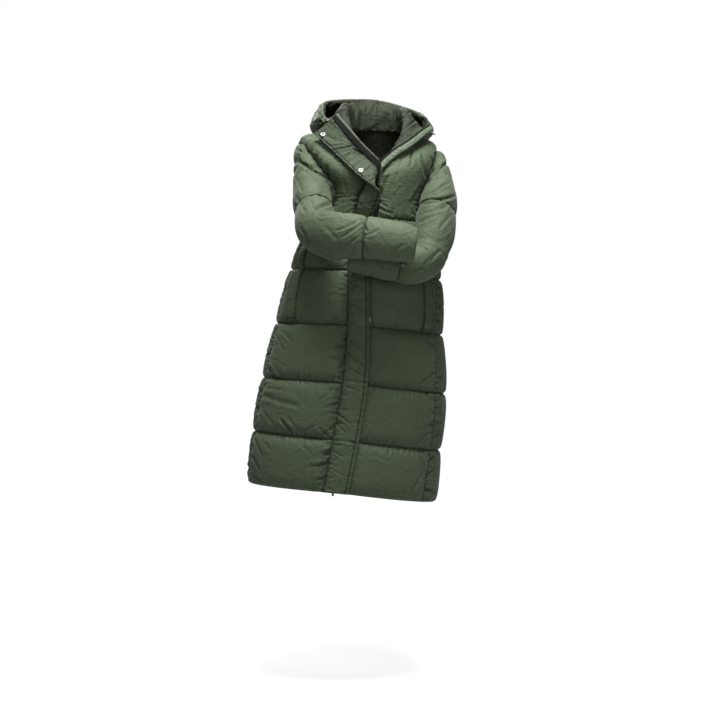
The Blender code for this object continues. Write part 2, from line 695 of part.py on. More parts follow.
def closed_flap():
    """The storm flap where it lies shut: its middle surface from the hem to the chest."""
    rows = np.array(quilt_rows(0, LAST_QUILT_ROW) + [LAST_QUILT_ROW])
    angles = spread(front_line(rows, "flap_seam"), front_line(rows, "flap_edge"), FLAP_COLUMNS)
    row_grid = np.broadcast_to(rows[:, None], angles.shape)
    channel = FLAP_RISE * np.clip(np.array(FLAP_COLUMNS) / FLAP_COLUMNS[1], 0.07, 1)
    stand = np.interp(FLAP_COLUMNS, (0.0, 0.5, 1.0), (0.0006, 0.002, 0.002))
    lift = np.maximum(front_height(row_grid, angles) + stand, channel[None, :])
    near_snap = np.exp(-((row_grid - WAIST_SNAP_ROW) / 0.12) ** 2) * np.array(FLAP_COLUMNS) ** 2
    lift = lift + FLAP_SNAP_LIFT * near_snap
    return body_offset(row_grid, angles, lift + FLAP_THICKNESS / 2)


def flap_surface():
    """The whole flap's middle surface and its outward directions."""
    shut = closed_flap()
    last = RibbonStation(tuple(shut[-1, 0]), tuple(shut[-1, -1]))
    open_part = ribbon(fine_stations((last, *OPEN_FLAP), 3), FLAP_COLUMNS, LAPEL_BOW)[0][1:]
    points = np.concatenate([shut, open_part])
    along = np.gradient(points, axis=0)
    across = np.gradient(points, axis=1)
    return points, unit(np.cross(across, along)), len(shut)


def build_flap(material):
    points, outward, _ = flap_surface()
    half = outward * FLAP_THICKNESS / 2
    wall_solid("storm_flap", points + half, points - half, material)


def build_welts(material):
    for name, panel, ends in (("pocket_welt_right", "front_right", RIGHT_WELT),
                              ("pocket_welt_left", "front_left", LEFT_WELT)):
        low, high = ends
        between = [row for row in quilt_rows(3, 5) if low.row + 0.03 < row < high.row - 0.03]
        rows = np.array([low.row, *between, high.row])
        inner = np.interp(rows, (low.row, high.row), (low.inner, high.inner))
        outer = np.interp(rows, (low.row, high.row), (low.outer, high.outer))
        angles = spread(inner, outer, (0.0, 0.33, 0.67, 1.0))
        row_grid = np.broadcast_to(rows[:, None], angles.shape)
        lift = np.maximum(panel_puff(row_grid, angles, panel), WELT_RISE) + TRIM_GAP
        near = body_offset(row_grid, angles, lift)
        far = body_offset(row_grid, angles, lift + WELT_THICKNESS)
        wall_solid(name, far, near, material)


def tape_beside_edge(side):
    """One tape's grid beside its front's edge, from the hem up to where it leaves the body."""
    rows = body_rows()
    rows = rows[rows <= LAST_QUILT_ROW + 1]
    gap = half_gap_angle(rows)
    right, left = front_line(rows, "right_edge"), front_line(rows, "left_edge")
    middle = 0.5 * (right + left)
    if side < 0:
        return rows, spread(right + 2 * gap, np.minimum(middle - gap, right + TAPE_ANGLE), (0.0, 1.0))
    return rows, spread(np.maximum(middle + gap, left - TAPE_ANGLE), left - 2 * gap, (0.0, 1.0))


def build_tapes(material):
    """The zip's two tapes: side by side below the upper slider, apart above it."""
    seams = [station.seam for station in fine_stations(OPEN_FLAP, 2)]
    for side, name in ((-1, "zip_tape_right"), (1, "zip_tape_left")):
        rows, angles = tape_beside_edge(side)
        row_grid = np.broadcast_to(rows[:, None], angles.shape)
        shut_outer = body_offset(row_grid, angles, np.full(angles.shape, -TAPE_DEPTH))
        shut_inner = body_offset(row_grid, angles, np.full(angles.shape, -TAPE_DEPTH - TAPE_THICKNESS))
        stations = right_tape_path(seams) if side < 0 else left_tape_path()
        points, outward = ribbon(stations, (0.0, 1.0))
        open_outer = points + outward * TAPE_THICKNESS / 2
        open_inner = points - outward * TAPE_THICKNESS / 2
        outer = np.concatenate([shut_outer, open_outer])
        inner = np.concatenate([shut_inner, open_inner])
        wall_solid(name, outer, inner, material)


def right_tape_path(seams):
    """The right tape climbs behind the flap's twist and shows along the open lapel."""
    low = [RibbonStation((0.0100, -0.1520, -0.134), (0.0165, -0.1525, -0.134)),
           RibbonStation((0.0160, -0.1565, -0.112), (0.0235, -0.1565, -0.108))]
    high = []
    for seam in seams[6:]:
        x, y, z = seam
        seam = (x + 0.0035, y + 0.0030, z + 0.0035)
        edge = (x + 0.0115, y + 0.0045, z + 0.0120)
        high.append(RibbonStation(seam, edge))
    return low + high


def left_tape_path():
    """The left tape runs up the left front's edge and then inside the light binding."""
    high = []
    for station in fine_stations(BINDING, 2)[1:]:
        seam, edge = np.array(station.seam), np.array(station.edge)
        away = unit(seam - edge)
        near, far = seam + away * 0.0010, seam + away * 0.0054
        shift = np.array([0, 0.0015, 0])
        high.append(RibbonStation(tuple(far + shift), tuple(near + shift)))
    return high


def build_trim_ribbons(cloth, light):
    """The lapel's inner facing beside the right tape, and the left front's binding."""
    seams = [station.seam for station in fine_stations(OPEN_FLAP, 2)][7:]
    stations = []
    for index, (x, y, z) in enumerate(seams):
        width = 0.003 + 0.006 * index / (len(seams) - 1)
        stations.append(RibbonStation((x + 0.0125, y + 0.0045, z + 0.0130),
                                      (x + 0.0125 + 0.7 * width, y + 0.0075, z + 0.0130 + 0.7 * width)))
    for name, path, material in (("facing_right", stations, cloth),
                                 ("binding_left", fine_stations(BINDING, 2), light)):
        points, outward = ribbon(path, (0.0, 0.5, 1.0))
        half = outward * RIBBON_THICKNESS / 2
        wall_solid(name, points + half, points - half, material)


def turned_solid(name, profile, centre, axis, material, sides=20):
    """A round piece turned from (radius, height) pairs about an axis through its centre."""
    axis = unit(np.asarray(axis, float))
    helper = np.array([1.0, 0, 0]) if abs(axis[0]) < 0.9 else np.array([0, 1.0, 0])
    first = unit(np.cross(axis, helper))
    second = np.cross(axis, first)
    points, faces = [np.asarray(centre) + axis * profile[0][1]], []
    for radius, height in profile[1:-1]:
        for step in range(sides):
            turn = 2 * math.pi * step / sides
            spoke = first * math.cos(turn) + second * math.sin(turn)
            points.append(np.asarray(centre) + axis * height + spoke * radius)
    points.append(np.asarray(centre) + axis * profile[-1][1])
    rings = len(profile) - 2
    for step in range(sides):
        after = (step + 1) % sides
        faces.append([0, 1 + after, 1 + step])
        for ring_ in range(rings - 1):
            low, high = 1 + ring_ * sides, 1 + (ring_ + 1) * sides
            faces.append([low + step, low + after, high + after, high + step])
        top = 1 + (rings - 1) * sides
        faces.append([len(points) - 1, top + step, top + after])
    return add_solid(name, points, faces, material)


def build_snaps(metal):
    """Two snap sockets on the open lapel and a stud that peeps out at the flap's edge."""
    wide, tall = SNAP_RADIUS, SNAP_HEIGHT
    profile = [(0, 0), (wide, 0), (wide, tall * 0.6), (wide * 0.8, tall),
               (wide * 0.35, tall), (wide * 0.3, tall * 0.55), (0, tall * 0.5)]
    points, outward, _ = flap_surface()
    for name, from_end in LAPEL_SNAPS:
        row = len(points) - 1 - from_end
        facing = -outward[row, SNAP_COLUMN]
        seat = points[row, SNAP_COLUMN] + facing * (FLAP_THICKNESS / 2 + TRIM_GAP)
        turned_solid(name, profile, seat, facing, metal)
    row = WAIST_SNAP_ROW
    angle = float(front_line(row, "flap_edge")) + 1.3
    height = float(panel_puff(row, angle, "front_left")) + TRIM_GAP
    seat = body_offset(row, angle, height)
    stud = profile[:3] + [(wide * 0.8, tall * 0.8), (0, tall * 0.8)]
    turned_solid("snap_waist", stud, seat, body_normal(row, angle), metal)


def box_points(centre, size):
    half = np.asarray(size) / 2
    signs = [(x, y, z) for z in (-1, 1) for y in (-1, 1) for x in (-1, 1)]
    return [tuple(np.asarray(centre) + half * sign) for sign in signs]


def framed_plate(name, outline, window, depth, material):
    """A plate in the XZ plane with one rectangular window through it."""
    (left, low, right, high), (in_left, in_low, in_right, in_high) = outline, window
    corners = [(left, low), (right, low), (right, high), (left, high),
               (in_left, in_low), (in_right, in_low), (in_right, in_high), (in_left, in_high)]
    points = [(x, y, z) for y in (depth[0], depth[1]) for x, z in corners]
    faces = []
    for side in range(4):
        after = (side + 1) % 4
        faces.append([side, after, 4 + after, 4 + side])
        faces.append([8 + side, 12 + side, 12 + after, 8 + after])
        faces.append([side, 8 + side, 8 + after, after])
        faces.append([4 + side, 4 + after, 12 + after, 12 + side])
    return add_solid(name, points, faces, material)


def slider_seat(row):
    """The middle of the zip's outer face at a body row."""
    angle = 0.5 * (front_line(row, "right_edge") + front_line(row, "left_edge"))
    return body_offset(row, angle, SEAM_GAP)


def build_slider(name, row, metal):
    """A slider's front body with the bail that its pull hangs on, made as one outline in YZ."""
    x, y, z = slider_seat(row)
    half, front = SLIDER_HEIGHT / 2, y - SLIDER_DEPTH
    rise = front - BAIL_CLEAR - BAIL_BAR
    body = bmesh.new()
    corners = [body.verts.new(point) for point in box_points((x, y - SLIDER_DEPTH / 2, z),
                                                             (SLIDER_WIDTH, SLIDER_DEPTH, SLIDER_HEIGHT))]
    for face in ((0, 1, 3, 2), (4, 6, 7, 5), (0, 4, 5, 1), (2, 3, 7, 6), (0, 2, 6, 4), (1, 5, 7, 3)):
        body.faces.new([corners[index] for index in face])
    mesh = bpy.data.meshes.new(name)
    bmesh.ops.recalc_face_normals(body, faces=body.faces)
    body.to_mesh(mesh)
    body.free()
    mesh.materials.append(metal)
    piece = bpy.data.objects.new(name, mesh)
    bpy.context.collection.objects.link(piece)
    arch_outline = [(front + 0.0008, half - 0.0008), (rise, BAIL_HALF), (rise, -BAIL_HALF),
                    (front + 0.0008, -half + 0.0008), (front + 0.0008, -BAIL_HALF + 0.0006),
                    (rise + BAIL_BAR, -BAIL_HALF + 0.0014), (rise + BAIL_BAR, BAIL_HALF - 0.0014),
                    (front + 0.0008, BAIL_HALF - 0.0006)]
    count = len(arch_outline)
    points = [(x + side * BAIL_WIDTH / 2, depth, z + height)
              for side in (-1, 1) for depth, height in arch_outline]
    faces = [[index, (index + 1) % count, count + (index + 1) % count, count + index]
             for index in range(count)]
    for start in (0, count):
        for quad in ((0, 1, 6, 7), (1, 2, 5, 6), (2, 3, 4, 5)):
            faces.append([start + index for index in quad])
    bail = add_solid(name + "_bail", points, faces, metal)
    bail.hide_render = True
    bail.display_type = "WIRE"
    join = piece.modifiers.new("bail", "BOOLEAN")
    join.operation = "UNION"
    join.object = bail
    return np.array([x, front - BAIL_CLEAR / 2, z])


def build_pull(name, pivot, metal):
    """A pull tab with its top bar through the bail; its origin is on the hinge axis."""
    half = PULL_WIDTH / 2
    outline = (-half, -PULL_LENGTH, half, PULL_BAR / 2)
    window = (-PULL_SLOT_WIDTH / 2, -PULL_SLOT_LENGTH, PULL_SLOT_WIDTH / 2, -PULL_BAR / 2)
    pull = framed_plate(name, outline, window, (-PULL_DEPTH / 2, PULL_DEPTH / 2), metal)
    pull.location = pivot


def build_zip_hardware(metal):
    for place, row in (("upper", UPPER_SLIDER_ROW), ("lower", LOWER_SLIDER_ROW)):
        pivot = build_slider("slider_" + place, row, metal)
        build_pull("pull_" + place, pivot, metal)


def ring_solid(name, centre, axis, material, sides=20, tube_sides=8):
    """A small torus."""
    axis = unit(np.asarray(axis, float))
    first = unit(np.cross(axis, np.array([0, 0, 1.0]) if abs(axis[2]) < 0.9 else np.array([1.0, 0, 0])))
    second = np.cross(axis, first)
    grid = []
    for step in range(sides + 1):
        turn = 2 * math.pi * step / sides
        spoke = first * math.cos(turn) + second * math.sin(turn)
        grid.append([np.asarray(centre) + spoke * (EYELET_RADIUS + EYELET_TUBE * math.cos(bend))
                     + axis * EYELET_TUBE * math.sin(bend)
                     for bend in (2 * math.pi * index / tube_sides for index in range(tube_sides))])
    grid = np.array(grid)[:-1]
    faces = []
    for row in range(sides):
        for column in range(tube_sides):
            below, after = (row + 1) % sides, (column + 1) % tube_sides
            faces.append([row * tube_sides + column, row * tube_sides + after,
                          below * tube_sides + after, below * tube_sides + column])
    return add_solid(name, grid.reshape(-1, 3), faces, material)


def build_drawcord_ends(metal, plastic):
    """An eyelet near each front corner of the hood's rim, with the cord's stopper standing in it."""
    for side, angle, stand in EYELETS:
        grid, lining_way = hood_grid(np.array([angle]))
        seat, facing = grid[EYELET_STEP, 0], -lining_way[EYELET_STEP, 0]
        base = seat + facing * stand
        ring_solid("eyelet_" + side, base, facing, metal)
        radius, length = STOPPER_RADIUS - 0.0004, STOPPER_LENGTH
        neck = radius * 0.85
        profile = [(0, 0), (radius * 0.8, 0), (radius, 0.001), (radius, length * 0.7),
                   (neck, length * 0.74), (neck, length * 0.96), (0, length)]
        turned_solid("stopper_" + side, profile, base - facing * EYELET_TUBE, facing, plastic, sides=14)


def main():
    clear_scene()
    shell = finish("olive_nylon", (0.055, 0.075, 0.048), 0.55)
    lining = finish("lining_nylon", (0.05, 0.058, 0.043), 0.6)
    light = finish("binding_nylon", (0.12, 0.15, 0.10), 0.5)
    tape = finish("zip_tape", (0.02, 0.025, 0.018), 0.85)
    metal = finish("silver_metal", (0.75, 0.75, 0.73), 0.3, 1.0)
    plastic = finish("olive_plastic", (0.16, 0.18, 0.14), 0.4)
    for panel in ("front_right", "front_left", "back"):
        build_panel(panel, shell)
    Sleeve(-1, RIGHT_SLEEVE, RIGHT_SLEEVE_LINES).build("sleeve_right", shell)
    Sleeve(1, LEFT_SLEEVE, LEFT_SLEEVE_LINES).build("sleeve_left", shell)
    build_hood(shell, lining)
    build_flap(shell)
    build_welts(shell)
    build_tapes(tape)
    build_trim_ribbons(light, light)
    build_snaps(metal)
    build_zip_hardware(metal)
    build_drawcord_ends(metal, plastic)


if __name__ == "__main__":
    main()
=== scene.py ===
"""A long hooded down coat in its worn shape: inflated quilted cloth, sewn trim and its finishes.

Metres, +Z up. The coat faces -Y and the wearer's left is +X. Every cloth piece is a fine grid of
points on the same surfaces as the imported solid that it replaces. The quilted pieces are cut wider
than their seams, pinned along them and blown up by a cloth simulation. Small gathers and folds are
pressed in afterwards, and stitches and zip teeth are set along the seams by Geometry Nodes.
"""
import sys
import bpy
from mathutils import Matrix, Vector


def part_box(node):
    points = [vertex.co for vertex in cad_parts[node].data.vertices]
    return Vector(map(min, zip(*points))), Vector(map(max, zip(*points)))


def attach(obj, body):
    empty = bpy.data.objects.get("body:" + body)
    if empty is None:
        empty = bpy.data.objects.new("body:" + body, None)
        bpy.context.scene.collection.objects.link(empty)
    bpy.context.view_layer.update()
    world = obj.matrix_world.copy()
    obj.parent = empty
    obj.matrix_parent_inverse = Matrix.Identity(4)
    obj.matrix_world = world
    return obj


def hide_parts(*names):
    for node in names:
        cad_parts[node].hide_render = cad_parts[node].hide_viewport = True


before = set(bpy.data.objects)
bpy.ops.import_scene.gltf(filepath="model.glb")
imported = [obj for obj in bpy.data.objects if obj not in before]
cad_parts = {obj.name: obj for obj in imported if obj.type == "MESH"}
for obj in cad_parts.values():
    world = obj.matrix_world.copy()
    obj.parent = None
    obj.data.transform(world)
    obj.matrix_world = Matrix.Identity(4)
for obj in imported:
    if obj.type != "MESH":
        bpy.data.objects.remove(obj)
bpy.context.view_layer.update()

import logging
import math
from dataclasses import dataclass, field
from enum import Enum
from typing import Iterable, NamedTuple, Sequence

import bmesh
import bpy
import numpy as np
from mathutils import Vector

LOG = logging.getLogger("down_coat")
Grid = np.ndarray
Pair = tuple[float, float]
Triple = tuple[float, float, float]
Piece = bpy.types.Object
Material = bpy.types.Material
Socket = bpy.types.NodeSocket

COAT, PULL = "coat", "upper_pull"
WALL = 0.004                    # shell, down and lining pressed together
SEAM_GAP = 0.0003               # between two pieces that are sewn together
BODY_PUFF, SLEEVE_PUFF = 0.013, 0.010
LAST_QUILT_ROW, SHOULDER_ROW, NECK_ROW = 5, 7, 9
CLOTH_SPACING = 0.0058          # between the points of a sheet that is blown up
INNER_STEP = 4                  # outer points for each point of the lining
HALF_STEP = INNER_STEP // 2     # the same before the sheet is refined
EYE = (-0.03025, -4.5, -0.605)
CHART_STEP, CHART_MIDDLE = 0.00275, 360.0
SEAM_SHADE = 0.0024             # how far the painted shade along a seam reaches


class Side(Enum):
    """The wearer's sides."""

    RIGHT = -1
    LEFT = 1


class Panel(Enum):
    """The three panels of the coat's body."""

    FRONT_RIGHT = "front_right"
    FRONT_LEFT = "front_left"
    BACK = "back"


# ---------------------------------------------------------------- the coat's form


class BodyRow(NamedTuple):
    """One ring of the body, square to its leaning axis."""

    height: float
    front_drop: float
    back_drop: float
    centre_x: float
    centre_y: float
    half_width: float
    front_depth: float
    back_depth: float
    tilt_right: float
    tilt_left: float


BODY_ROWS = (
    BodyRow(-0.959, 0.0, 0.0, -0.081, 0.005, 0.253, 0.180, 0.185, 0.070, 0.137),   # hem
    BodyRow(-0.8195, 0.0, 0.0, -0.067, 0.005, 0.251, 0.176, 0.178, 0.082, 0.131),
    BodyRow(-0.669, 0.0, 0.0, -0.047, 0.004, 0.245, 0.168, 0.170, 0.065, 0.118),
    BodyRow(-0.515, 0.0, 0.0, -0.033, 0.003, 0.223, 0.156, 0.160, 0.045, 0.100),
    BodyRow(-0.369, 0.0, 0.0, -0.015, 0.004, 0.201, 0.143, 0.148, 0.060, 0.085),
    BodyRow(-0.225, 0.0, 0.0, 0.0, 0.002, 0.160, 0.140, 0.130, 0.050, 0.050),      # under the arms
    BodyRow(-0.130, -0.020, 0.0, 0.002, 0.002, 0.160, 0.143, 0.125, 0.050, 0.050),
    BodyRow(-0.020, -0.099, -0.030, -0.007, 0.0, 0.184, 0.146, 0.122, 0.060, 0.060),
    BodyRow(0.009, -0.108, -0.012, 0.0, -0.002, 0.135, 0.140, 0.105, 0.050, 0.050),
    BodyRow(0.028, -0.105, 0.008, 0.012, -0.012, 0.088, 0.128, 0.095, 0.040, 0.040),  # neck seam
)
TILT_BLEND = 0.03


class FrontRow(NamedTuple):
    """Where the front's long lines cross one body row: x of each, and the side seams' angles."""

    right_edge: float
    left_edge: float
    flap_seam: float
    flap_edge: float
    right_seam: float
    left_seam: float


FRONT_ROWS = (
    FrontRow(-0.1104, -0.0984, -0.1275, -0.0625, -84.0, 59.0),
    FrontRow(-0.0856, -0.0736, -0.1016, -0.0358, -79.0, 63.8),
    FrontRow(-0.0600, -0.0480, -0.0760, -0.0121, -76.0, 63.5),
    FrontRow(-0.0474, -0.0354, -0.0634, -0.0077, -80.0, 66.0),
    FrontRow(-0.0430, -0.0310, -0.0600, -0.0077, -80.0, 68.0),
    FrontRow(0.004, 0.016, -0.0440, 0.0015, -59.0, 65.0),
    FrontRow(0.006, 0.022, -0.0236, 0.0150, -62.0, 82.0),
    FrontRow(0.004, 0.026, -0.0080, 0.0150, -72.0, 92.0),
    FrontRow(-0.012, 0.036, -0.0240, 0.0, -80.0, 92.0),
    FrontRow(-0.0356, 0.050, -0.0476, 0.0, -88.0, 92.0),
)
ARMHOLE_HALF_ANGLE = 23.0


class RibbonStation(NamedTuple):
    """The two long edges of a strip at one place along it."""

    seam: Triple
    edge: Triple


OPEN_FLAP = (
    RibbonStation((-0.0356, -0.151, -0.185), (0.0170, -0.172, -0.190)),
    RibbonStation((-0.0196, -0.157, -0.148), (0.0250, -0.190, -0.165)),
    RibbonStation((0.0010, -0.162, -0.121), (0.0180, -0.200, -0.159)),
    RibbonStation((0.0140, -0.161, -0.099), (-0.0010, -0.198, -0.144)),
    RibbonStation((-0.0060, -0.153, -0.075), (-0.0360, -0.181, -0.116)),
    RibbonStation((-0.0360, -0.138, -0.045), (-0.0730, -0.155, -0.079)),
    RibbonStation((-0.0730, -0.122, -0.001), (-0.1130, -0.126, -0.037)),
    RibbonStation((-0.1080, -0.098, 0.042), (-0.1540, -0.094, 0.004)),
)
BINDING = (
    RibbonStation((0.0228, -0.1425, -0.148), (0.0320, -0.1440, -0.148)),
    RibbonStation((0.0140, -0.1490, -0.120), (0.0265, -0.1510, -0.118)),
    RibbonStation((0.0165, -0.1500, -0.098), (0.0270, -0.1535, -0.101)),
    RibbonStation((0.0290, -0.1450, -0.077), (0.0370, -0.1490, -0.088)),
    RibbonStation((0.0480, -0.1370, -0.058), (0.0550, -0.1410, -0.070)),
    RibbonStation((0.0690, -0.1302, -0.041), (0.0760, -0.1340, -0.053)),
    RibbonStation((0.0880, -0.1248, -0.029), (0.0950, -0.1288, -0.041)),
    RibbonStation((0.1090, -0.1130, -0.013), (0.1160, -0.1160, -0.025)),
    RibbonStation((0.1370, -0.0910, 0.011), (0.1450, -0.0930, 0.001)),
    RibbonStation((0.1590, -0.0690, 0.029), (0.1680, -0.0700, 0.020)),
)


class SleeveStation(NamedTuple):
    """The sleeve's full outline where it is this far along."""

    x: float
    y: float
    z: float
    high: float
    side: float


RIGHT_SLEEVE = (
    SleeveStation(-0.158, -0.110, -0.175, 0.062, 0.054),
    SleeveStation(-0.150, -0.156, -0.220, 0.060, 0.054),
    SleeveStation(-0.140, -0.205, -0.260, 0.062, 0.056),
    SleeveStation(-0.105, -0.250, -0.277, 0.066, 0.050),
    SleeveStation(-0.055, -0.281, -0.284, 0.061, 0.043),
    SleeveStation(0.000, -0.289, -0.291, 0.056, 0.041),
    SleeveStation(0.055, -0.291, -0.299, 0.053, 0.040),
    SleeveStation(0.113, -0.289, -0.307, 0.046, 0.040),
)
LEFT_SLEEVE = (
    SleeveStation(0.180, -0.085, -0.175, 0.062, 0.052),
    SleeveStation(0.173, -0.122, -0.225, 0.060, 0.054),
    SleeveStation(0.165, -0.150, -0.280, 0.056, 0.054),
    SleeveStation(0.142, -0.170, -0.332, 0.053, 0.052),
    SleeveStation(0.105, -0.188, -0.351, 0.052, 0.042),
    SleeveStation(0.055, -0.194, -0.347, 0.052, 0.038),
    SleeveStation(0.000, -0.197, -0.338, 0.050, 0.036),
    SleeveStation(-0.058, -0.198, -0.326, 0.046, 0.036),
)
RIGHT_SLEEVE_LINES = (0.035, 0.120, 0.245, 0.360)
LEFT_SLEEVE_LINES = (0.035, 0.120, 0.235, 0.340)
SLEEVES = {Side.RIGHT: (RIGHT_SLEEVE, RIGHT_SLEEVE_LINES), Side.LEFT: (LEFT_SLEEVE, LEFT_SLEEVE_LINES)}


class HoodStation(NamedTuple):
    """One line of the hood, from the neck seam over the collar stand and the bag to the rim."""

    neck_angle: float
    crest: Triple
    slope: Triple
    floor: Triple
    belly: Triple
    rim: Triple


HOOD = (
    HoodStation(-33.0, (-0.052, -0.121, -0.022), (-0.066, -0.117, -0.006), (-0.079, -0.112, 0.010),
                (-0.092, -0.103, 0.026), (-0.108, -0.088, 0.043)),
    HoodStation(-55.0, (-0.070, -0.068, 0.050), (-0.096, -0.058, 0.040), (-0.118, -0.060, 0.032),
                (-0.135, -0.062, 0.041), (-0.130, -0.055, 0.060)),
    HoodStation(-90.0, (-0.072, -0.006, 0.084), (-0.098, -0.001, 0.054), (-0.126, 0.000, 0.034),
                (-0.149, 0.001, 0.041), (-0.135, 0.010, 0.090)),
    HoodStation(-135.0, (-0.056, 0.062, 0.098), (-0.088, 0.090, 0.046), (-0.126, 0.118, 0.012),
                (-0.152, 0.130, 0.052), (-0.118, 0.090, 0.123)),
    HoodStation(-180.0, (0.012, 0.088, 0.104), (0.012, 0.130, 0.030), (0.012, 0.174, -0.050),
                (0.012, 0.214, 0.030), (0.010, 0.150, 0.135)),
    HoodStation(-225.0, (0.078, 0.060, 0.090), (0.108, 0.090, 0.036), (0.140, 0.118, 0.004),
                (0.158, 0.128, 0.042), (0.113, 0.095, 0.100)),
    HoodStation(-270.0, (0.094, -0.006, 0.070), (0.116, -0.001, 0.042), (0.138, 0.000, 0.024),
                (0.154, 0.003, 0.032), (0.147, 0.024, 0.069)),
    HoodStation(-310.0, (0.092, -0.075, 0.016), (0.110, -0.071, 0.010), (0.130, -0.066, 0.008),
                (0.148, -0.054, 0.015), (0.160, -0.024, 0.044)),
    HoodStation(-334.0, (0.072, -0.121, -0.045), (0.090, -0.116, -0.032), (0.112, -0.104, -0.016),
                (0.140, -0.083, 0.006), (0.165, -0.058, 0.025)),
)
HOOD_SEAM_ANGLES = (-151.0, -209.0)
HOOD_PUFF_STEPS = (0.0, 1.5, 2.0, 2.5, 3.0, 4.0, 4.5, 4.8, 5.0)
HOOD_PUFFS = (0.0, 0.0005, 0.002, 0.004, 0.006, 0.006, 0.0045, 0.0025, 0.0)


class WeltEnd(NamedTuple):
    """One end of a pocket welt: its body row and the angles of its two long edges."""

    row: float
    inner: float
    outer: float


WELTS = {
    Side.RIGHT: (WeltEnd(3.06, -46.5, -58.0), WeltEnd(4.40, -55.0, -70.0)),
    Side.LEFT: (WeltEnd(3.03, 47.0, 58.0), WeltEnd(4.35, 44.5, 56.0)),
}
WAIST_SNAP_ROW = 3.14


def hermite(start: Grid, leave: Grid, end: Grid, arrive: Grid, share: Grid) -> Grid:
    """Points of a cubic from start to end, with its slopes at both, at shares of the way."""
    square, cube = share**2, share**3
    return ((2 * cube - 3 * square + 1) * start + (cube - 2 * square + share) * leave
            + (3 * square - 2 * cube) * end + (cube - square) * arrive)


def curve_through(table: Sequence, where: Grid) -> Grid:
    """Reads smooth curves through a table's rows at fractional row numbers.

    Args:
        table: One row of numbers per station.
        where: Row numbers to read.

    Returns:
        The values, with the table's columns as the last axis.
    """
    values = np.asarray(table, float)
    where = np.asarray(where, float)
    low = np.clip(np.floor(where).astype(int), 0, len(values) - 2)
    slopes = np.gradient(values, axis=0)
    return hermite(values[low], slopes[low], values[low + 1], slopes[low + 1], (where - low)[..., None])


def read_column(table: Sequence, row: Grid, name: str) -> Grid:
    """One named column of a table, at fractional row numbers."""
    return curve_through(table, row)[..., table[0]._fields.index(name)]


def unit(vectors: Grid) -> Grid:
    """Vectors scaled to length one."""
    return vectors / np.maximum(np.linalg.norm(vectors, axis=-1, keepdims=True), 1e-12)


def body_point(row: Grid, angle: Grid) -> Grid:
    """Finds points of the body's seam-level surface.

    Args:
        row: Body row numbers.
        angle: Angles in degrees, 0 at the front and more towards the wearer's left.

    Returns:
        The points.
    """
    row, angle = np.broadcast_arrays(np.asarray(row, float), np.asarray(angle, float))
    ring = BodyRow(*np.moveaxis(curve_through(BODY_ROWS, row), -1, 0))
    across, along = np.sin(np.radians(angle)), np.cos(np.radians(angle))
    front = along > 0
    side = ring.half_width * across
    depth = np.where(front, ring.front_depth, ring.back_depth) * along
    drop = np.where(front, ring.front_drop, ring.back_drop) * along**2
    reach = np.sqrt(side**2 + TILT_BLEND**2) - TILT_BLEND
    fall = 0.5 * (ring.tilt_right + ring.tilt_left) * side + 0.5 * (ring.tilt_left - ring.tilt_right) * reach
    return np.stack([ring.centre_x + side, ring.centre_y - depth, ring.height + drop - fall], axis=-1)


def body_offset(row: Grid, angle: Grid, distance: Grid) -> Grid:
    """Moves the body's surface out along the way it faces.

    Args:
        row: Body row numbers.
        angle: Angles in degrees.
        distance: How far each point is moved.

    Returns:
        The points.
    """
    row, angle = np.asarray(row, float), np.asarray(angle, float)
    up = body_point(np.minimum(row + 0.01, NECK_ROW), angle) - body_point(np.maximum(row - 0.01, 0), angle)
    around = body_point(row, angle + 0.5) - body_point(row, angle - 0.5)
    return body_point(row, angle) + unit(np.cross(around, up)) * np.asarray(distance)[..., None]


def front_line(row: Grid, column: str) -> Grid:
    """Finds the angle of one of the front's long lines.

    Args:
        row: Body row numbers.
        column: The line's FrontRow column.

    Returns:
        Angles in degrees.
    """
    offset = read_column(FRONT_ROWS, row, column) - read_column(BODY_ROWS, row, "centre_x")
    share = offset / read_column(BODY_ROWS, row, "half_width")
    return np.degrees(np.arcsin(np.clip(share, -0.99, 0.99)))


def side_line(row: Grid, side: Side, panel: Panel) -> Grid:
    """Finds a panel's outer boundary: side seam, armhole, shoulder seam.

    Args:
        row: Body row numbers.
        side: Which of its boundaries.
        panel: The panel; both fronts share one answer.

    Returns:
        Angles in degrees.
    """
    centre = read_column(FRONT_ROWS, row, side.name.lower() + "_seam")
    middle, reach = (LAST_QUILT_ROW + SHOULDER_ROW) / 2, (SHOULDER_ROW - LAST_QUILT_ROW) / 2
    open_ = np.sqrt(np.clip(1 - ((np.asarray(row) - middle) / reach) ** 2, 0, None))
    towards_front = side.value if panel is Panel.BACK else -side.value
    return centre + towards_front * ARMHOLE_HALF_ANGLE * open_


def gap_angle(rows: Grid) -> Grid:
    """Half the gap at a seam, as an angle in degrees on each body row."""
    return np.degrees(SEAM_GAP / 2 / read_column(BODY_ROWS, rows, "half_width"))


def pillow(share: Grid) -> Grid:
    """A baffle's height across it, 0 at its two seams and 1 in the middle."""
    return np.clip(1 - np.abs(2 * share - 1) ** 3, 0, 1) ** 0.55


def ramp(distance: Grid, reach: float, softness: Grid = 0.5) -> Grid:
    """Height beside an edge seam, up to full at reach; a quarter circle at softness 0.5."""
    return (1 - np.clip(1 - distance / reach, 0, 1) ** 2) ** softness


SEAM_REACH, OPEN_EDGE_REACH = 0.045, 0.09
SKIRT_SOFTNESS, CHEST_SOFTNESS, OPEN_EDGE_SOFTNESS = 0.55, 0.95, 0.9
SIDES_PRESSED, SHOULDERS_PRESSED, ARMS_PRESSED = 0.35, 0.6, 0.4


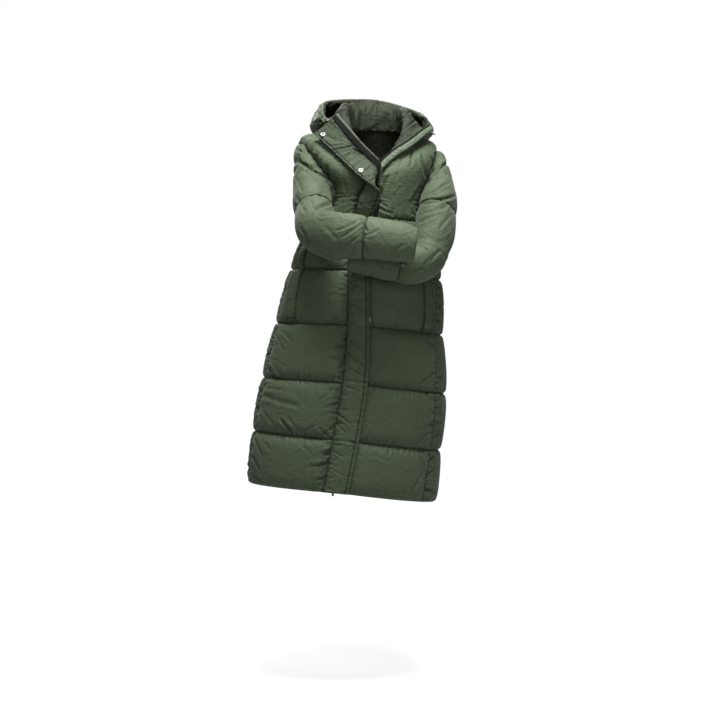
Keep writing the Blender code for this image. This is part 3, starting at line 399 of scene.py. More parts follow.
def panel_puff(row: Grid, angle: Grid, panel: Panel) -> Grid:
    """How far a panel's outer face stands above the seam-level surface.

    Args:
        row: Body row numbers.
        angle: Angles in degrees.
        panel: Which panel the points belong to.

    Returns:
        Heights in metres.
    """
    row = np.asarray(row, float)
    girth = read_column(BODY_ROWS, row, "half_width") + read_column(BODY_ROWS, row, "front_depth")
    degree = np.radians(1) * 0.5 * girth
    soft = np.where(row > LAST_QUILT_ROW - 0.3, CHEST_SOFTNESS, SKIRT_SOFTNESS)
    first_tall = LAST_QUILT_ROW + (1 if panel is Panel.BACK else 0)
    share = np.where(row < first_tall, row - np.floor(row), (row - first_tall) / (NECK_ROW - first_tall))
    pressed = 1 - SIDES_PRESSED * np.abs(np.sin(np.radians(angle))) ** 4
    pressed = pressed * (1 - SHOULDERS_PRESSED * np.clip((row - 6.3) / 1.5, 0, 1))
    tall = pillow(share) * BODY_PUFF * pressed
    if panel is Panel.BACK:
        start = side_line(row, Side.RIGHT, panel) - angle
        end = angle - (side_line(row, Side.LEFT, panel) - 360)
        return tall * ramp(start * degree, SEAM_REACH, soft) * ramp(end * degree, SEAM_REACH, soft)
    tall = tall * (1 - ARMS_PRESSED * np.exp(-((row - LAST_QUILT_ROW) / 1.2) ** 2))
    if panel is Panel.FRONT_LEFT:
        start = angle - front_line(row, "left_edge")
        end = side_line(row, Side.LEFT, panel) - angle
        return (tall * ramp(start * degree, OPEN_EDGE_REACH, OPEN_EDGE_SOFTNESS)
                * ramp(end * degree, SEAM_REACH, soft))
    start = np.maximum(front_line(row, "flap_seam") - angle, 0)
    end = angle - side_line(row, Side.RIGHT, panel)
    return tall * ramp(start * degree, SEAM_REACH) * ramp(end * degree, SEAM_REACH, soft)


def spread(start: Grid, end: Grid, shares: Grid) -> Grid:
    """Values between two boundaries, a column for each share."""
    return start[:, None] + (end - start)[:, None] * np.asarray(shares)[None, :]


def whole_steps(length: float, spacing: float) -> int:
    """How many steps of about a spacing fit a length, as a multiple of the lining's."""
    return INNER_STEP * max(1, round(length / spacing / INNER_STEP))


def body_rows(spacing: float = CLOTH_SPACING) -> Grid:
    """Row numbers that every panel shares, with all quilt lines among them.

    Args:
        spacing: Mean distance between two rows.

    Returns:
        Rising row numbers from 0 to the neck's.
    """
    rows: list[float] = []
    for first in range(LAST_QUILT_ROW):
        count = whole_steps(BODY_ROWS[first + 1].height - BODY_ROWS[first].height, spacing)
        rows += [first + step / count for step in range(count)]
    armhole = whole_steps(0.30, spacing)
    rows += [6 - math.cos(math.pi * step / armhole) for step in range(armhole)]
    shoulder = INNER_STEP * 3
    rows += [SHOULDER_ROW + 2 * step / shoulder for step in range(shoulder + 1)]
    return np.array(rows)


def turn_between(start: Grid, end: Grid) -> Grid:
    """Finds the rotation that takes one unit vector to another the short way.

    Args:
        start: The first.
        end: The other.

    Returns:
        A matrix of three rows.
    """
    axis = np.cross(start, end)
    sine, cosine = np.linalg.norm(axis), float(np.dot(start, end))
    if sine < 1e-9:
        return np.eye(3)
    x, y, z = axis / sine
    cross = np.array([[0, -z, y], [z, 0, -x], [-y, x, 0]])
    return np.eye(3) + sine * cross + (1 - cosine) * cross @ cross


class SleeveForm:
    """A tube from the armhole to the cuff."""

    def __init__(self, side: Side, stations: Sequence[SleeveStation], lines: Sequence[float],
                 columns: int) -> None:
        """Sets the root ring on the armhole and carries a frame along the arm.

        Args:
            side: Which arm.
            stations: The sleeve's outline along the arm.
            lines: How far along its quilt lines run.
            columns: Points round the tube, an even number.
        """
        self.table = np.array(stations)
        half = columns // 2
        rows = np.array([6 - math.cos(math.pi * step / half) for step in range(half + 1)])
        front, back = rows[::-1], rows[1:-1]
        row = np.concatenate([front, back])
        angle = np.concatenate([side_line(front, side, Panel.FRONT_RIGHT), side_line(back, side, Panel.BACK)])
        self.root = body_point(row, angle)
        self.root_inner = body_offset(row, angle, np.full(row.shape, -WALL))
        self.hub = self.root.mean(axis=0)
        tuck = unit(self.hub - self.root) * 0.0005
        self.root, self.root_inner = self.root + tuck, self.root_inner + tuck
        spokes = self.root - self.hub
        plane = unit(np.cross(spokes, np.roll(spokes, -1, axis=0)).sum(axis=0))
        self.out = plane * np.sign(plane[0]) * side.value
        top = unit(spokes[0] - self.out * np.dot(spokes[0], self.out))
        clock = np.unwrap(np.arctan2(spokes @ np.cross(self.out, top), spokes @ top))
        even = np.sign(clock[-1]) * np.arange(columns) * 2 * math.pi / columns
        self.clock = 0.5 * clock + 0.5 * even
        self.path = np.vstack([self.hub, self.table[:, :3]])
        self.frames = self.carry_frames(top)
        steps = np.linalg.norm(np.diff(self.path, axis=0), axis=1)
        self.along = np.concatenate([[0], np.cumsum(steps)])
        self.length = float(self.along[-1])
        self.lines = (0.0, *lines, self.length)

    def direction(self, where: float) -> Grid:
        """Finds the arm's heading.

        Args:
            where: A station number.

        Returns:
            A unit vector.
        """
        low, high = np.clip([where - 0.25, where + 0.25], 0, len(self.path) - 1)
        ends = curve_through(self.path, np.array([low, high]))
        return unit(ends[1] - ends[0])

    def carry_frames(self, top: Grid) -> dict[float, tuple[Grid, Grid]]:
        """Carries the top direction along the arm without twist.

        Args:
            top: That direction at the root.

        Returns:
            Heading and top at every quarter station.
        """
        frames = {}
        heading, marker = self.out, top
        for step in range(4 * len(self.table) + 1):
            ahead = self.direction(step / 4) if step else self.out
            marker = turn_between(heading, ahead) @ marker
            heading = ahead
            frames[step / 4] = (heading, marker)
        return frames

    def ring(self, where: float, shrink: float) -> tuple[Grid, Grid]:
        """Finds the tube's outline.

        Args:
            where: A station number.
            shrink: How far it lies inside the full outline.

        Returns:
            Its points and its spokes.
        """
        centre = curve_through(self.path, np.array(where))
        high, wide = curve_through(self.table[:, 3:], np.array(max(where - 1, 0))) - shrink
        heading, marker = self.frames[round(where * 4) / 4]
        ahead = self.direction(where)
        marker = turn_between(heading, ahead) @ marker
        across = np.cross(ahead, marker)
        upright = unit(np.array([0, 0, 1.0]) - ahead[2] * ahead)
        level = np.cross(ahead, upright)
        spokes = np.outer(np.cos(self.clock), marker) + np.outer(np.sin(self.clock), across)
        radius = 1 / np.sqrt((spokes @ upright / high) ** 2 + (spokes @ level / wide) ** 2)
        return centre + spokes * radius[:, None], spokes

    def section(self, metres: float, shrink: float, root: Grid, puff: float) -> Grid:
        """Finds the outline: a cap that grows from the armhole, then the tube.

        Args:
            metres: How far along the arm.
            shrink: How far its seam level lies inside the full outline.
            root: The ring that the cap grows from.
            puff: How far it stands above seam level.

        Returns:
            The points.
        """
        where = float(np.interp(metres, self.along, np.arange(len(self.along))))
        if where >= 1:
            points, spokes = self.ring(where, shrink)
            return points + spokes * puff
        end, spokes = self.ring(1.0, shrink)
        span = np.linalg.norm(end - root, axis=1, keepdims=True)
        points = hermite(root, self.out * span * 0.6, end, self.direction(1.0) * span, where)
        lift = unit((1 - where) * (self.out + 0.6 * unit(root - self.hub)) + where * spokes)
        return points + lift * puff


def hood_grid(angles: Grid, steps: Grid, into: float = 0.0) -> tuple[Grid, Grid]:
    """The hood's surface, moved towards its lining.

    Args:
        angles: Neck angles of its columns.
        steps: Places along the hood's lines, 0 at the neck seam and 5 at the rim.
        into: How far it is moved towards the lining.

    Returns:
        The points, a row for each step, and the way the lining lies from each.
    """
    neck_angles = np.array([station.neck_angle for station in HOOD])
    last = len(HOOD) - 1
    where = np.interp(-angles, -neck_angles, np.arange(last + 1))

    def points(places: Grid) -> Grid:
        """Finds points of the hood's lines.

        Args:
            places: Station numbers.

        Returns:
            The points, a row for each step.
        """
        guides = [curve_through([station[guide] for station in HOOD], places) for guide in range(1, 6)]
        angle = np.interp(places, np.arange(last + 1), neck_angles)
        neck = body_point(NECK_ROW, angle)
        neck = neck + unit(neck - body_point(NECK_ROW - 0.1, angle)) * SEAM_GAP
        stack = np.stack([neck, *guides])
        return curve_through(stack.reshape(6, -1), steps).reshape(len(steps), -1, 3)

    grid = points(where)
    shifted = points(np.clip(where + 0.01, 0, last)) - points(np.clip(where - 0.01, 0, last))
    lining_way = unit(np.cross(shifted, np.gradient(grid, axis=0)))
    return grid + lining_way * into, lining_way


def facing(grid: Grid, closed: bool = False) -> Grid:
    """Finds the way each point of a grid faces.

    Args:
        grid: The points; rows run up and columns run to the wearer's left.
        closed: Whether the columns close into a tube.

    Returns:
        Unit vectors.
    """
    if closed:
        around = np.concatenate([grid[:, -1:], grid, grid[:, :1]], axis=1)
        across = (around[:, 2:] - around[:, :-2]) / 2
    else:
        across = np.gradient(grid, axis=1)
    return unit(np.cross(across, np.gradient(grid, axis=0)))


def ribbon(stations: Sequence[RibbonStation], rows: int, shares: Grid, bow: float = 0.0) -> tuple[Grid, Grid]:
    """A strip's points and the way its outer side faces.

    Args:
        stations: The strip's edges along its length.
        rows: Rows wanted between two stations.
        shares: Places across the strip, 0 at its seam and 1 at its edge.
        bow: How far its middle stands out.

    Returns:
        The points and the outward directions.
    """
    where = np.linspace(0, len(stations) - 1, (len(stations) - 1) * rows + 1)
    seams, edges = (curve_through([station[side] for station in stations], where) for side in (0, 1))
    across = np.asarray(shares)[None, :, None]
    points = seams[:, None, :] * (1 - across) + edges[:, None, :] * across
    outward = facing(points)
    return points + outward * bow * (4 * across * (1 - across)), outward


def front_height(row: Grid, angle: Grid) -> Grid:
    """Finds how far the outer face of whichever front lies there stands out.

    Args:
        row: Body row numbers.
        angle: Angles in degrees.

    Returns:
        Heights in metres.
    """
    left = angle > front_line(row, "left_edge")
    right = angle < front_line(row, "flap_seam")
    height = np.where(left, panel_puff(row, angle, Panel.FRONT_LEFT), 0.0)
    return np.where(right, panel_puff(row, angle, Panel.FRONT_RIGHT), height)


# ---------------------------------------------------------------- cloth


@dataclass(frozen=True)
class Inflation:
    """How a quilted piece is blown up between its seams.

    Attributes:
        growth: How much wider the cloth is cut than the seams it is sewn to.
        pressure: Pressure of the down.
        above: How far it may stand above its solid's face.
        below: How far it may sink below it.
        bending: Stiffness against folding.
        frames: Simulation steps.
    """

    growth: float = 0.06
    pressure: float = 4.5
    above: float = 0.005
    below: float = 0.012
    bending: float = 0.02
    frames: int = 22


def add_object(name: str, data: bpy.types.ID) -> Piece:
    """Puts a mesh, a light or a camera into the scene as an object of its own.

    Args:
        name: The object's name.
        data: What it shows.

    Returns:
        The object, at the origin.
    """
    thing = bpy.data.objects.new(name, data)
    bpy.context.collection.objects.link(thing)
    return thing


def grid_faces(rows: int, columns: int, closed: bool, start: int = 0,
               flip: bool = False) -> list[tuple[int, ...]]:
    """Lays quads over a grid of points.

    Args:
        rows: Its rows.
        columns: Its columns.
        closed: Whether the columns close into a tube.
        start: The vertex number of its first point.
        flip: Whether the quads face the other way.

    Returns:
        The quads' vertex numbers.
    """
    faces = []
    for row in range(rows - 1):
        for column in range(columns if closed else columns - 1):
            after = (column + 1) % columns
            low, high = start + row * columns, start + (row + 1) * columns
            corners = (low + column, low + after, high + after, high + column)
            faces.append(corners[::-1] if flip else corners)
    return faces


SIM_SCALE = 10.0
CLOTH_SETTINGS = {
    "vertex_group_mass": "seams", "pin_stiffness": 1.0, "quality": 4, "mass": 0.15, "air_damping": 2.0,
    "tension_stiffness": 12.0, "compression_stiffness": 12.0, "shear_stiffness": 4.0,
    "tension_damping": 4.0, "compression_damping": 4.0, "shear_damping": 4.0, "use_pressure": True}


def inflate(name: str, grid: Grid, solid_face: Grid, pinned: Grid, closed: bool, how: Inflation,
            room: Grid | float = 1.0) -> Grid:
    """Blows a sheet up between its pinned seams with a cloth simulation.

    Args:
        name: Name for the temporary object.
        grid: The sheet at the start.
        solid_face: The outer face of the solid that it stands for, point by point.
        pinned: True at every point of a seam.
        closed: Whether the columns close into a tube.
        how: Growth, pressure and limits.
        room: Share of the highest rise that each point has, less where something lies on it.

    Returns:
        The settled grid.
    """
    rows, columns = grid.shape[:2]
    mesh = bpy.data.meshes.new(name)
    mesh.from_pydata((grid.reshape(-1, 3) * SIM_SCALE).tolist(), [], grid_faces(rows, columns, closed))
    sheet = add_object(name, mesh)
    group = sheet.vertex_groups.new(name="seams")
    group.add([int(index) for index in np.flatnonzero(pinned.ravel())], 1.0, "REPLACE")
    cloth = sheet.modifiers.new("down", "CLOTH")
    for setting, value in CLOTH_SETTINGS.items():
        setattr(cloth.settings, setting, value)
    cloth.settings.bending_stiffness = how.bending
    cloth.settings.shrink_min = -how.growth
    cloth.settings.uniform_pressure_force = how.pressure
    cloth.settings.effector_weights.gravity = 0.0
    cloth.collision_settings.use_collision = False
    cloth.point_cache.frame_start = 1
    cloth.point_cache.frame_end = how.frames
    scene = bpy.context.scene
    for step in range(1, how.frames + 1):
        scene.frame_set(step)
    settled = sheet.evaluated_get(bpy.context.evaluated_depsgraph_get()).to_mesh()
    flat = np.empty(rows * columns * 3)
    settled.vertices.foreach_get("co", flat)
    result = flat.reshape(rows, columns, 3) / SIM_SCALE
    bpy.data.objects.remove(sheet, do_unlink=True)
    bpy.data.meshes.remove(mesh)
    scene.frame_set(1)
    outward = facing(solid_face, closed)
    rise = ((result - solid_face) * outward).sum(axis=-1, keepdims=True)
    limit = how.above * np.asarray(room)[..., None] if np.ndim(room) else how.above * room
    soft = limit * np.tanh(np.maximum(rise, 0) / np.maximum(limit, 1e-6))
    kept = np.where(rise > 0, soft, np.maximum(rise, -how.below))
    moved = result + outward * (kept - rise)
    LOG.info("%s settled: %.1f mm mean rise, %.1f mm highest", name, 1000 * rise.mean(), 1000 * rise.max())
    return np.where(pinned[..., None], grid, moved)


def edge_pins(shape: tuple[int, ...]) -> Grid:
    """Marks all four edges of a grid of points.

    Args:
        shape: The grid's shape.

    Returns:
        True at the edges.
    """
    pinned = np.zeros(shape[:2], bool)
    pinned[[0, -1]] = pinned[:, [0, -1]] = True
    return pinned


def halfway(values: Grid, wraps: bool) -> Grid:
    """Interleaves cubic midpoints along the first axis.

    Args:
        values: The rows.
        wraps: Whether the last is followed by the first.

    Returns:
        About twice as many rows.
    """
    if wraps:
        padded = np.concatenate([values[-1:], values, values[:2]])
    else:
        first, last = 2 * values[:1] - values[1:2], 2 * values[-1:] - values[-2:-1]
        padded = np.concatenate([first, values, last])
    middle = (-padded[:-3] + 9 * padded[1:-2] + 9 * padded[2:-1] - padded[3:]) / 16
    count = len(values) * 2 if wraps else len(values) * 2 - 1
    out = np.empty((count, *values.shape[1:]))
    out[::2] = values
    out[1::2] = middle[:len(out[1::2])]
    return out


def refine(grid: Grid, closed: bool = False) -> Grid:
    """A grid with smooth points added halfway between its own."""
    return np.swapaxes(halfway(np.swapaxes(halfway(grid, False), 0, 1), closed), 0, 1)


def steps_between(grid: Grid, axis: int) -> Grid:
    """Distances from each point of a grid to the next along an axis."""
    return np.linalg.norm(np.diff(grid, axis=axis), axis=-1)


def travelled(grid: Grid, axis: int) -> Grid:
    """Distances of a grid's points from its edge along an axis."""
    return np.insert(np.cumsum(steps_between(grid, axis), axis=axis), 0, 0, axis=axis)


class Gathers(NamedTuple):
    """Mean sizes of the short uneven folds along a seam.

    Attributes:
        spacing: Distance between two of them.
        reach: Length.
        width: Half width.
        depth: Depth.
    """

    spacing: float = 0.014
    reach: float = 0.022
    width: float = 0.0042
    depth: float = 0.0012


class Folds(NamedTuple):
    """Mean sizes of soft folds that are scattered over a piece.

    Attributes:
        length: Length.
        width: Half width.
        depth: Depth.
        heading: The way that most of them run.
        turn: How far they stray from it.
    """

    length: float
    width: float
    depth: float
    heading: Triple = (0.0, 0.0, 1.0)
    turn: float = 0.6


class Crease(NamedTuple):
    """A placed fold: a soft trough with a low ridge beside it, as it lies on the front view.

    Its ends are counted in chart steps right of and below the view's top left corner. Its half
    width, its depth and how far its middle bows aside are in millimetres.
    """

    right0: float
    down0: float
    right1: float
    down1: float
    width: float
    depth: float
    bow: float = 0.0


def chart(points: Grid) -> Grid:
    """Finds where points show on the front view.

    Args:
        points: The points.

    Returns:
        Pairs of chart steps, right and down.
    """
    nearer = -EYE[1] / (points[..., 1] - EYE[1]) / CHART_STEP
    right, down = (points[..., 0] - EYE[0]) * nearer, (EYE[2] - points[..., 2]) * nearer
    return CHART_MIDDLE + np.stack([right, down], axis=-1)


class Relief:
    """Gathers and folds pressed into one fine grid."""

    def __init__(self, grid: Grid, closed: bool, seed: int) -> None:
        """Measures the grid.

        Args:
            grid: The fine points.
            closed: Whether its columns close into a tube.
            seed: Fixes where the gathers fall.
        """
        self.grid = grid
        self.random = np.random.default_rng(seed)
        self.outward = facing(grid, closed)
        self.along, self.across = travelled(grid, 0), travelled(grid, 1)
        self.last = grid.shape[1] - 1
        self.height = np.zeros(grid.shape[:2])

    def gathers(self, sizes: Gathers, row: int | None = None, column: int = 0, way: int = 1,
                first: float = 0.0, last: float = 1.0) -> None:
        """Presses short uneven gathers that start at a seam and fade out.

        Args:
            sizes: Their mean sizes.
            row: The seam's row, if it runs across.
            column: The seam's column, if it runs up.
            way: Which side of the seam they lie on, 1 towards higher rows or columns.
            first: Where along the seam they begin, as a share of it.
            last: Where they end.
        """
        if row is not None:
            distance, place = (self.along - self.along[row]) * way, self.across
            length = self.across[row, -1]
        else:
            distance, place = (self.across - self.across[:, [column]]) * way, self.along
            length = self.along[-1, column]
        there = np.nonzero((distance > -1e-6) & (distance < 3.2 * sizes.reach))
        off_seam, on_seam = distance[there], place[there]
        total = np.zeros(off_seam.shape)
        at = first * length + self.random.uniform(0, sizes.spacing)
        while at < last * length:
            size = self.random.uniform(0.3, 1.8)
            tall, wide = sizes.reach * size, sizes.width * self.random.uniform(0.7, 1.4)
            slant = self.random.normal(0, 0.35)
            force = sizes.depth * self.random.uniform(0.4, 1.5)
            off = (on_seam - at - slant * off_seam) / wide
            window = np.abs(off) < 4
            near, off = off_seam[window], off[window]
            fade = np.exp(-(near / tall) ** 2) * near / (near + 0.002)
            total[window] -= force * fade * (np.exp(-off**2) - 0.55 * np.exp(-(off - 1.9) ** 2))
            at += sizes.spacing * self.random.uniform(0.45, 1.6)
        self.height[there] += total

    def side_gathers(self, sizes: Gathers) -> None:
        """Gathers the cloth along its first and its last column."""
        self.gathers(sizes, column=0)
        self.gathers(sizes, column=self.last, way=-1)

    def creases(self, folds: Iterable[Crease]) -> None:
        """Presses placed folds into what faces the front view.

        Args:
            folds: Where and how deep they are.
        """
        shown = np.clip((-self.outward[..., 1] - 0.05) / 0.3, 0, 1)
        for fold in folds:
            width, depth, bow = (size / 1000 for size in fold[4:])
            start = np.array(fold[:2])
            span = np.array(fold[2:4]) - start
            length = float(np.linalg.norm(span))
            seen = chart(self.grid) - start
            share = (seen @ span) / length**2
            side = (seen @ np.array([-span[1], span[0]])) / length
            side = side * CHART_STEP - bow * 4 * share * (1 - share)
            taper = np.clip(np.minimum(share + 0.12, 1.12 - share) / 0.3, 0, 1)
            taper = taper * taper * (3 - 2 * taper)
            off = side / (0.75 * width)
            profile = np.exp(-off**2) - 0.6 * np.exp(-(off - 1.7) ** 2) - 0.25 * np.exp(-(off + 2.2) ** 2)
            self.height -= 1.15 * depth * profile * taper * shown

    def folds(self, count: int, sizes: Folds) -> None:
        """Scatters soft folds all over, uneven in length, depth and heading.

        Args:
            count: How many.
            sizes: Their mean sizes.
        """
        rows, columns = self.grid.shape[:2]
        for _ in range(count):
            row, column = self.random.integers(rows), self.random.integers(columns)
            outward = self.outward[row, column]
            along = np.asarray(sizes.heading) + self.random.normal(0, sizes.turn, 3)
            along = unit(along - outward * np.dot(along, outward))
            offset = self.grid - self.grid[row, column]
            half = sizes.length * self.random.uniform(0.25, 0.8)
            forward = offset @ along
            near = np.abs(forward) < 1.6 * half
            forward, offset = forward[near], offset[near]
            side = offset @ np.cross(outward, along) - self.random.normal(0, 0.2) * forward**2 / half
            off = side / (sizes.width * self.random.uniform(0.7, 1.5))
            reach = np.exp(-(forward / half) ** 4 - ((offset @ outward) / 0.03) ** 2)
            profile = np.exp(-off**2) - 0.5 * np.exp(-(off - 1.8) ** 2)
            self.height[near] -= sizes.depth * self.random.uniform(0.4, 1.5) * reach * profile

    def ripple(self, size: float, depth: float) -> None:
        """Adds soft, broad unevenness all over, from a few smooth random waves.

        Args:
            size: Mean length of a wave.
            depth: How uneven it gets.
        """
        for _ in range(10):
            heading = unit(self.random.normal(size=3))
            wave = 2 * math.pi / (size * self.random.uniform(0.7, 1.6))
            phase = self.random.uniform(0, 2 * math.pi)
            self.height += depth / 4 * np.sin(self.grid @ heading * wave + phase)

    def pressed(self) -> Grid:
        """The grid with its folds."""
        return self.grid + self.outward * self.height[..., None]

    def painted_shades(self, rows: Iterable[int] = (), columns: Iterable[int] = ()) -> Grid:
        """How much painted shade each point gets, from 0 to 1: more deep in a fold and right at a seam, where
        shade falls.

        Args:
            rows: Rows that are seams.
            columns: Columns that are seams.

        Returns:
            A value for each point.
        """
        # Painted shade: deep troughs and the strips along seams get a darker colour in the material.
        depth = 0.6 * np.clip((-self.height - 0.0005) / 0.0028, 0, 1)
        away = [self.along - self.along[row] for row in rows]
        away += [self.across - self.across[:, [column]] for column in columns]
        for distance in away:
            depth = np.maximum(depth, np.exp(-(distance / SEAM_SHADE) ** 2))
        return depth


def flat_coordinates(grid: Grid) -> Grid:
    """Lays a grid of points flat.

    Args:
        grid: The points.

    Returns:
        Distances across and along it in metres, a pair for each point.
    """
    across = travelled(grid, 1)
    across -= across[:, [across.shape[1] // 2]]
    return np.stack([across, travelled(grid, 0)], axis=-1).reshape(-1, 2)


def lay_uv(mesh: bpy.types.Mesh, coordinates: Grid) -> None:
    """Gives a mesh a UV map in metres.

    Args:
        mesh: The mesh.
        coordinates: A pair for each vertex.
    """
    layer = mesh.uv_layers.new(name="cut")
    corners = np.empty(len(mesh.loops), np.int32)
    mesh.loops.foreach_get("vertex_index", corners)
    layer.data.foreach_set("uv", coordinates[corners].astype(np.float32).ravel())


def smooth_shell(mesh: bpy.types.Mesh, sharp: float, bevel: float = 0.0) -> None:
    """Points a closed mesh's faces outwards and shades it smooth.

    Args:
        mesh: The mesh.
        sharp: Edges that turn by more degrees than this stay sharp.
        bevel: How far its edges are softened.
    """
    work = bmesh.new()
    work.from_mesh(mesh)
    bmesh.ops.recalc_face_normals(work, faces=work.faces)
    if bevel:
        edges = [edge for edge in work.edges if edge.calc_face_angle(0) > 0.6]
        bmesh.ops.bevel(work, geom=edges, offset=bevel, segments=2, affect="EDGES", clamp_overlap=True)
    work.to_mesh(mesh)
    work.free()
    mesh.shade_smooth()
    mesh.set_sharp_from_angle(angle=math.radians(sharp))


def behind(outer: Grid, inner: Grid, closed: bool, step: int, gap: float = 0.0012) -> Grid:
    """Moves an inner face in where the outer one dips too near to it.

    Args:
        outer: The outer face's points.
        inner: The inner face's points, every step-th of the outer's.
        closed: Whether the columns close into a tube.
        step: Outer points for each inner one.
        gap: How near the two faces may come.

    Returns:
        The inner face's points.
    """
    rows, columns = (np.arange(count) * step for count in inner.shape[:2])
    way = facing(inner, closed)
    nearest = np.full(inner.shape[:2], np.inf)
    for up in range(-step, step + 1):
        for right in range(-step, step + 1):
            row = np.clip(rows + up, 0, outer.shape[0] - 1)
            column = columns + right
            column = column % outer.shape[1] if closed else np.clip(column, 0, outer.shape[1] - 1)
            nearest = np.minimum(nearest, ((outer[row][:, column] - inner) * way).sum(-1))
    return inner - way * np.clip(gap - nearest, 0, 0.008)[..., None]


def cloth_wall(name: str, outer: Grid, inner: Grid, closed: bool, materials: Sequence[Material],
               step: int = 1, hollow: Grid | None = None) -> Piece:
    """Builds a closed wall of cloth between an outer grid and a coarser inner one.

    Args:
        name: The piece's name.
        outer: The outer face's points.
        inner: The inner face's points, every step-th of the outer's.
        closed: Whether the columns close into a tube.
        materials: The outer face's material and, if given, the inner face's.
        step: Outer points for each inner one.
        hollow: How much painted shade each point gets in a fold or seam, for the outer face or for both in
            turn.

    Returns:
        The new object, at the origin.
    """
    if step > 1 and len(materials) > 1:
        inner = behind(outer, inner, closed, step)
    count = outer.shape[0] * outer.shape[1]
    faces = grid_faces(*outer.shape[:2], closed)
    outside = len(faces)
    faces += grid_faces(*inner.shape[:2], closed, count, flip=True)
    lined = len(faces)
    numbers = (np.arange(grid.shape[0] * grid.shape[1]).reshape(grid.shape[:2]) + start
               for grid, start in ((outer, 0), (inner, count)))
    shell, lining = (np.pad(grid, ((0, 0), (0, int(closed))), "wrap") for grid in numbers)
    rims = [(shell[0], lining[0]), (shell[-1, ::-1], lining[-1, ::-1])]
    if not closed:
        rims += [(shell[::-1, 0], lining[::-1, 0]), (shell[:, -1], lining[:, -1])]
    for edge, lining_edge in rims:
        for index in range(len(lining_edge) - 1):
            run = edge[index * step:(index + 1) * step + 1]
            faces.append((*run[::-1].tolist(), int(lining_edge[index]), int(lining_edge[index + 1])))
    mesh = bpy.data.meshes.new(name)
    points = np.concatenate([outer.reshape(-1, 3), inner.reshape(-1, 3)])
    mesh.from_pydata(points.tolist(), [], faces)
    for material in materials:
        mesh.materials.append(material)
    if len(materials) > 1:
        dressed_in = np.zeros(len(faces), np.int32)
        dressed_in[outside:lined] = 1
        mesh.polygons.foreach_set("material_index", dressed_in)
    lay_uv(mesh, np.concatenate([flat_coordinates(outer), flat_coordinates(inner)]))
    # Painted shade for each point, kept as an attribute that darkens the material's colour.
    shade = np.zeros(len(points), np.float32)
    if hollow is not None:
        shade[:hollow.size] = hollow.ravel()
    mesh.attributes.new("hollow", "FLOAT", "POINT").data.foreach_set("value", shade)
    smooth_shell(mesh, 65)
    return add_object(name, mesh)


def place(piece: Piece, slot: str, nodes: Sequence[str] = (), body: str = COAT) -> Piece:
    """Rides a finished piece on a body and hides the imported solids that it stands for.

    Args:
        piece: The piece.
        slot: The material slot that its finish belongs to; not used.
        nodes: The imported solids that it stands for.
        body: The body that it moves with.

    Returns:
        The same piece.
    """
    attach(piece, body)
    if nodes:
        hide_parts(*nodes)
    LOG.info("%s: %d faces", piece.name, len(piece.data.polygons))
    return piece


def padded(name: str, outer: Grid, inner: Grid, materials: Sequence[Material], hollow: Grid, fill: float,
           closed: bool = False, step: int = INNER_STEP) -> Piece:
    """Builds a padded shell piece in place of the solid of its name.

    Args:
        name: The solid's name.
        outer: The outer face's points.
        inner: The inner face's points, every step-th of the outer's.
        materials: The outer face's material and, if given, the inner face's.
        hollow: How much painted shade each point gets in a fold or seam.
        fill: How tightly it is filled, from 0 to 1; not used.
        closed: Whether the columns close into a tube.
        step: Outer points for each inner one.

    Returns:
        The finished piece.
    """
    piece = cloth_wall(name + "_cloth", outer, inner, closed, materials, step, hollow)
    place(piece, "shell", [name])
    return piece


# ---------------------------------------------------------------- finishes


class Tree:
    """Short hands for building one node tree."""

    def __init__(self, tree: bpy.types.NodeTree) -> None:
        """Keeps the tree."""
        self.tree = tree

    def add(self, kind: str, inputs: dict[str | int, object] | None = None,
            **settings: object) -> bpy.types.Node:
        """Adds a node.

        Args:
            kind: Its type.
            inputs: What goes into its sockets, values or other nodes' sockets.
            settings: Its properties.

        Returns:
            The new node.
        """
        node = self.tree.nodes.new(kind)
        for key, value in settings.items():
            setattr(node, key, value)
        self.feed(node, inputs or {})
        return node

    def feed(self, node: bpy.types.Node, inputs: dict[str | int, object]) -> None:
        """Sets a node's sockets, or links them where another node's socket is given.

        Args:
            node: The node.
            inputs: What goes into its sockets, by their names or numbers.
        """
        for key, value in inputs.items():
            if isinstance(value, Socket):
                self.tree.links.new(value, node.inputs[key])
            else:
                node.inputs[key].default_value = value


class Nodes(Tree):
    """A material in the making."""

    def __init__(self, name: str) -> None:
        """Starts a material with a Principled shader.

        Args:
            name: The material's name.
        """
        self.material = bpy.data.materials.new(name)
        self.material.use_nodes = True
        super().__init__(self.material.node_tree)
        self.shader = self.tree.nodes["Principled BSDF"]

    def noise(self, vector: Socket, scale: float, detail: float = 3.0) -> Socket:
        """A noise value over a coordinate."""
        sizes = {"Scale": scale, "Detail": detail, "Vector": vector}
        return self.add("ShaderNodeTexNoise", sizes).outputs["Fac"]

    def band(self, value: Socket, low: Pair, high: Pair) -> Socket:
        """Maps the range low of a value to the range high."""
        return self.add("ShaderNodeMapRange", {"From Min": low[0], "From Max": low[1], "To Min": high[0],
                                               "To Max": high[1], "Value": value}).outputs["Result"]

    def blend(self, share: Socket, first: Triple, second: Triple) -> Socket:
        """Mixes two colours.

        Args:
            share: How much of the second there is.
            first: The first colour.
            second: The second colour.

        Returns:
            The mixed colour.
        """
        node = self.add("ShaderNodeMix", data_type="RGBA")
        sockets = {socket.identifier: number for number, socket in enumerate(node.inputs)}
        self.feed(node, {sockets["A_Color"]: (*first, 1), sockets["B_Color"]: (*second, 1),
                         sockets["Factor_Float"]: share})
        return next(socket for socket in node.outputs if socket.identifier == "Result_Color")

    def bump(self, height: Socket, distance: float, strength: float, below: Socket | None = None) -> Socket:
        """Adds a bump.

        Args:
            height: The pattern that stands out.
            distance: How far it stands out.
            strength: How strongly it shows.
            below: Another bump, for this one to lie on.

        Returns:
            The bumped normal.
        """
        lying_on = {} if below is None else {"Normal": below}
        return self.add("ShaderNodeBump", {"Distance": distance, "Strength": strength, "Height": height,
                                           **lying_on}).outputs["Normal"]


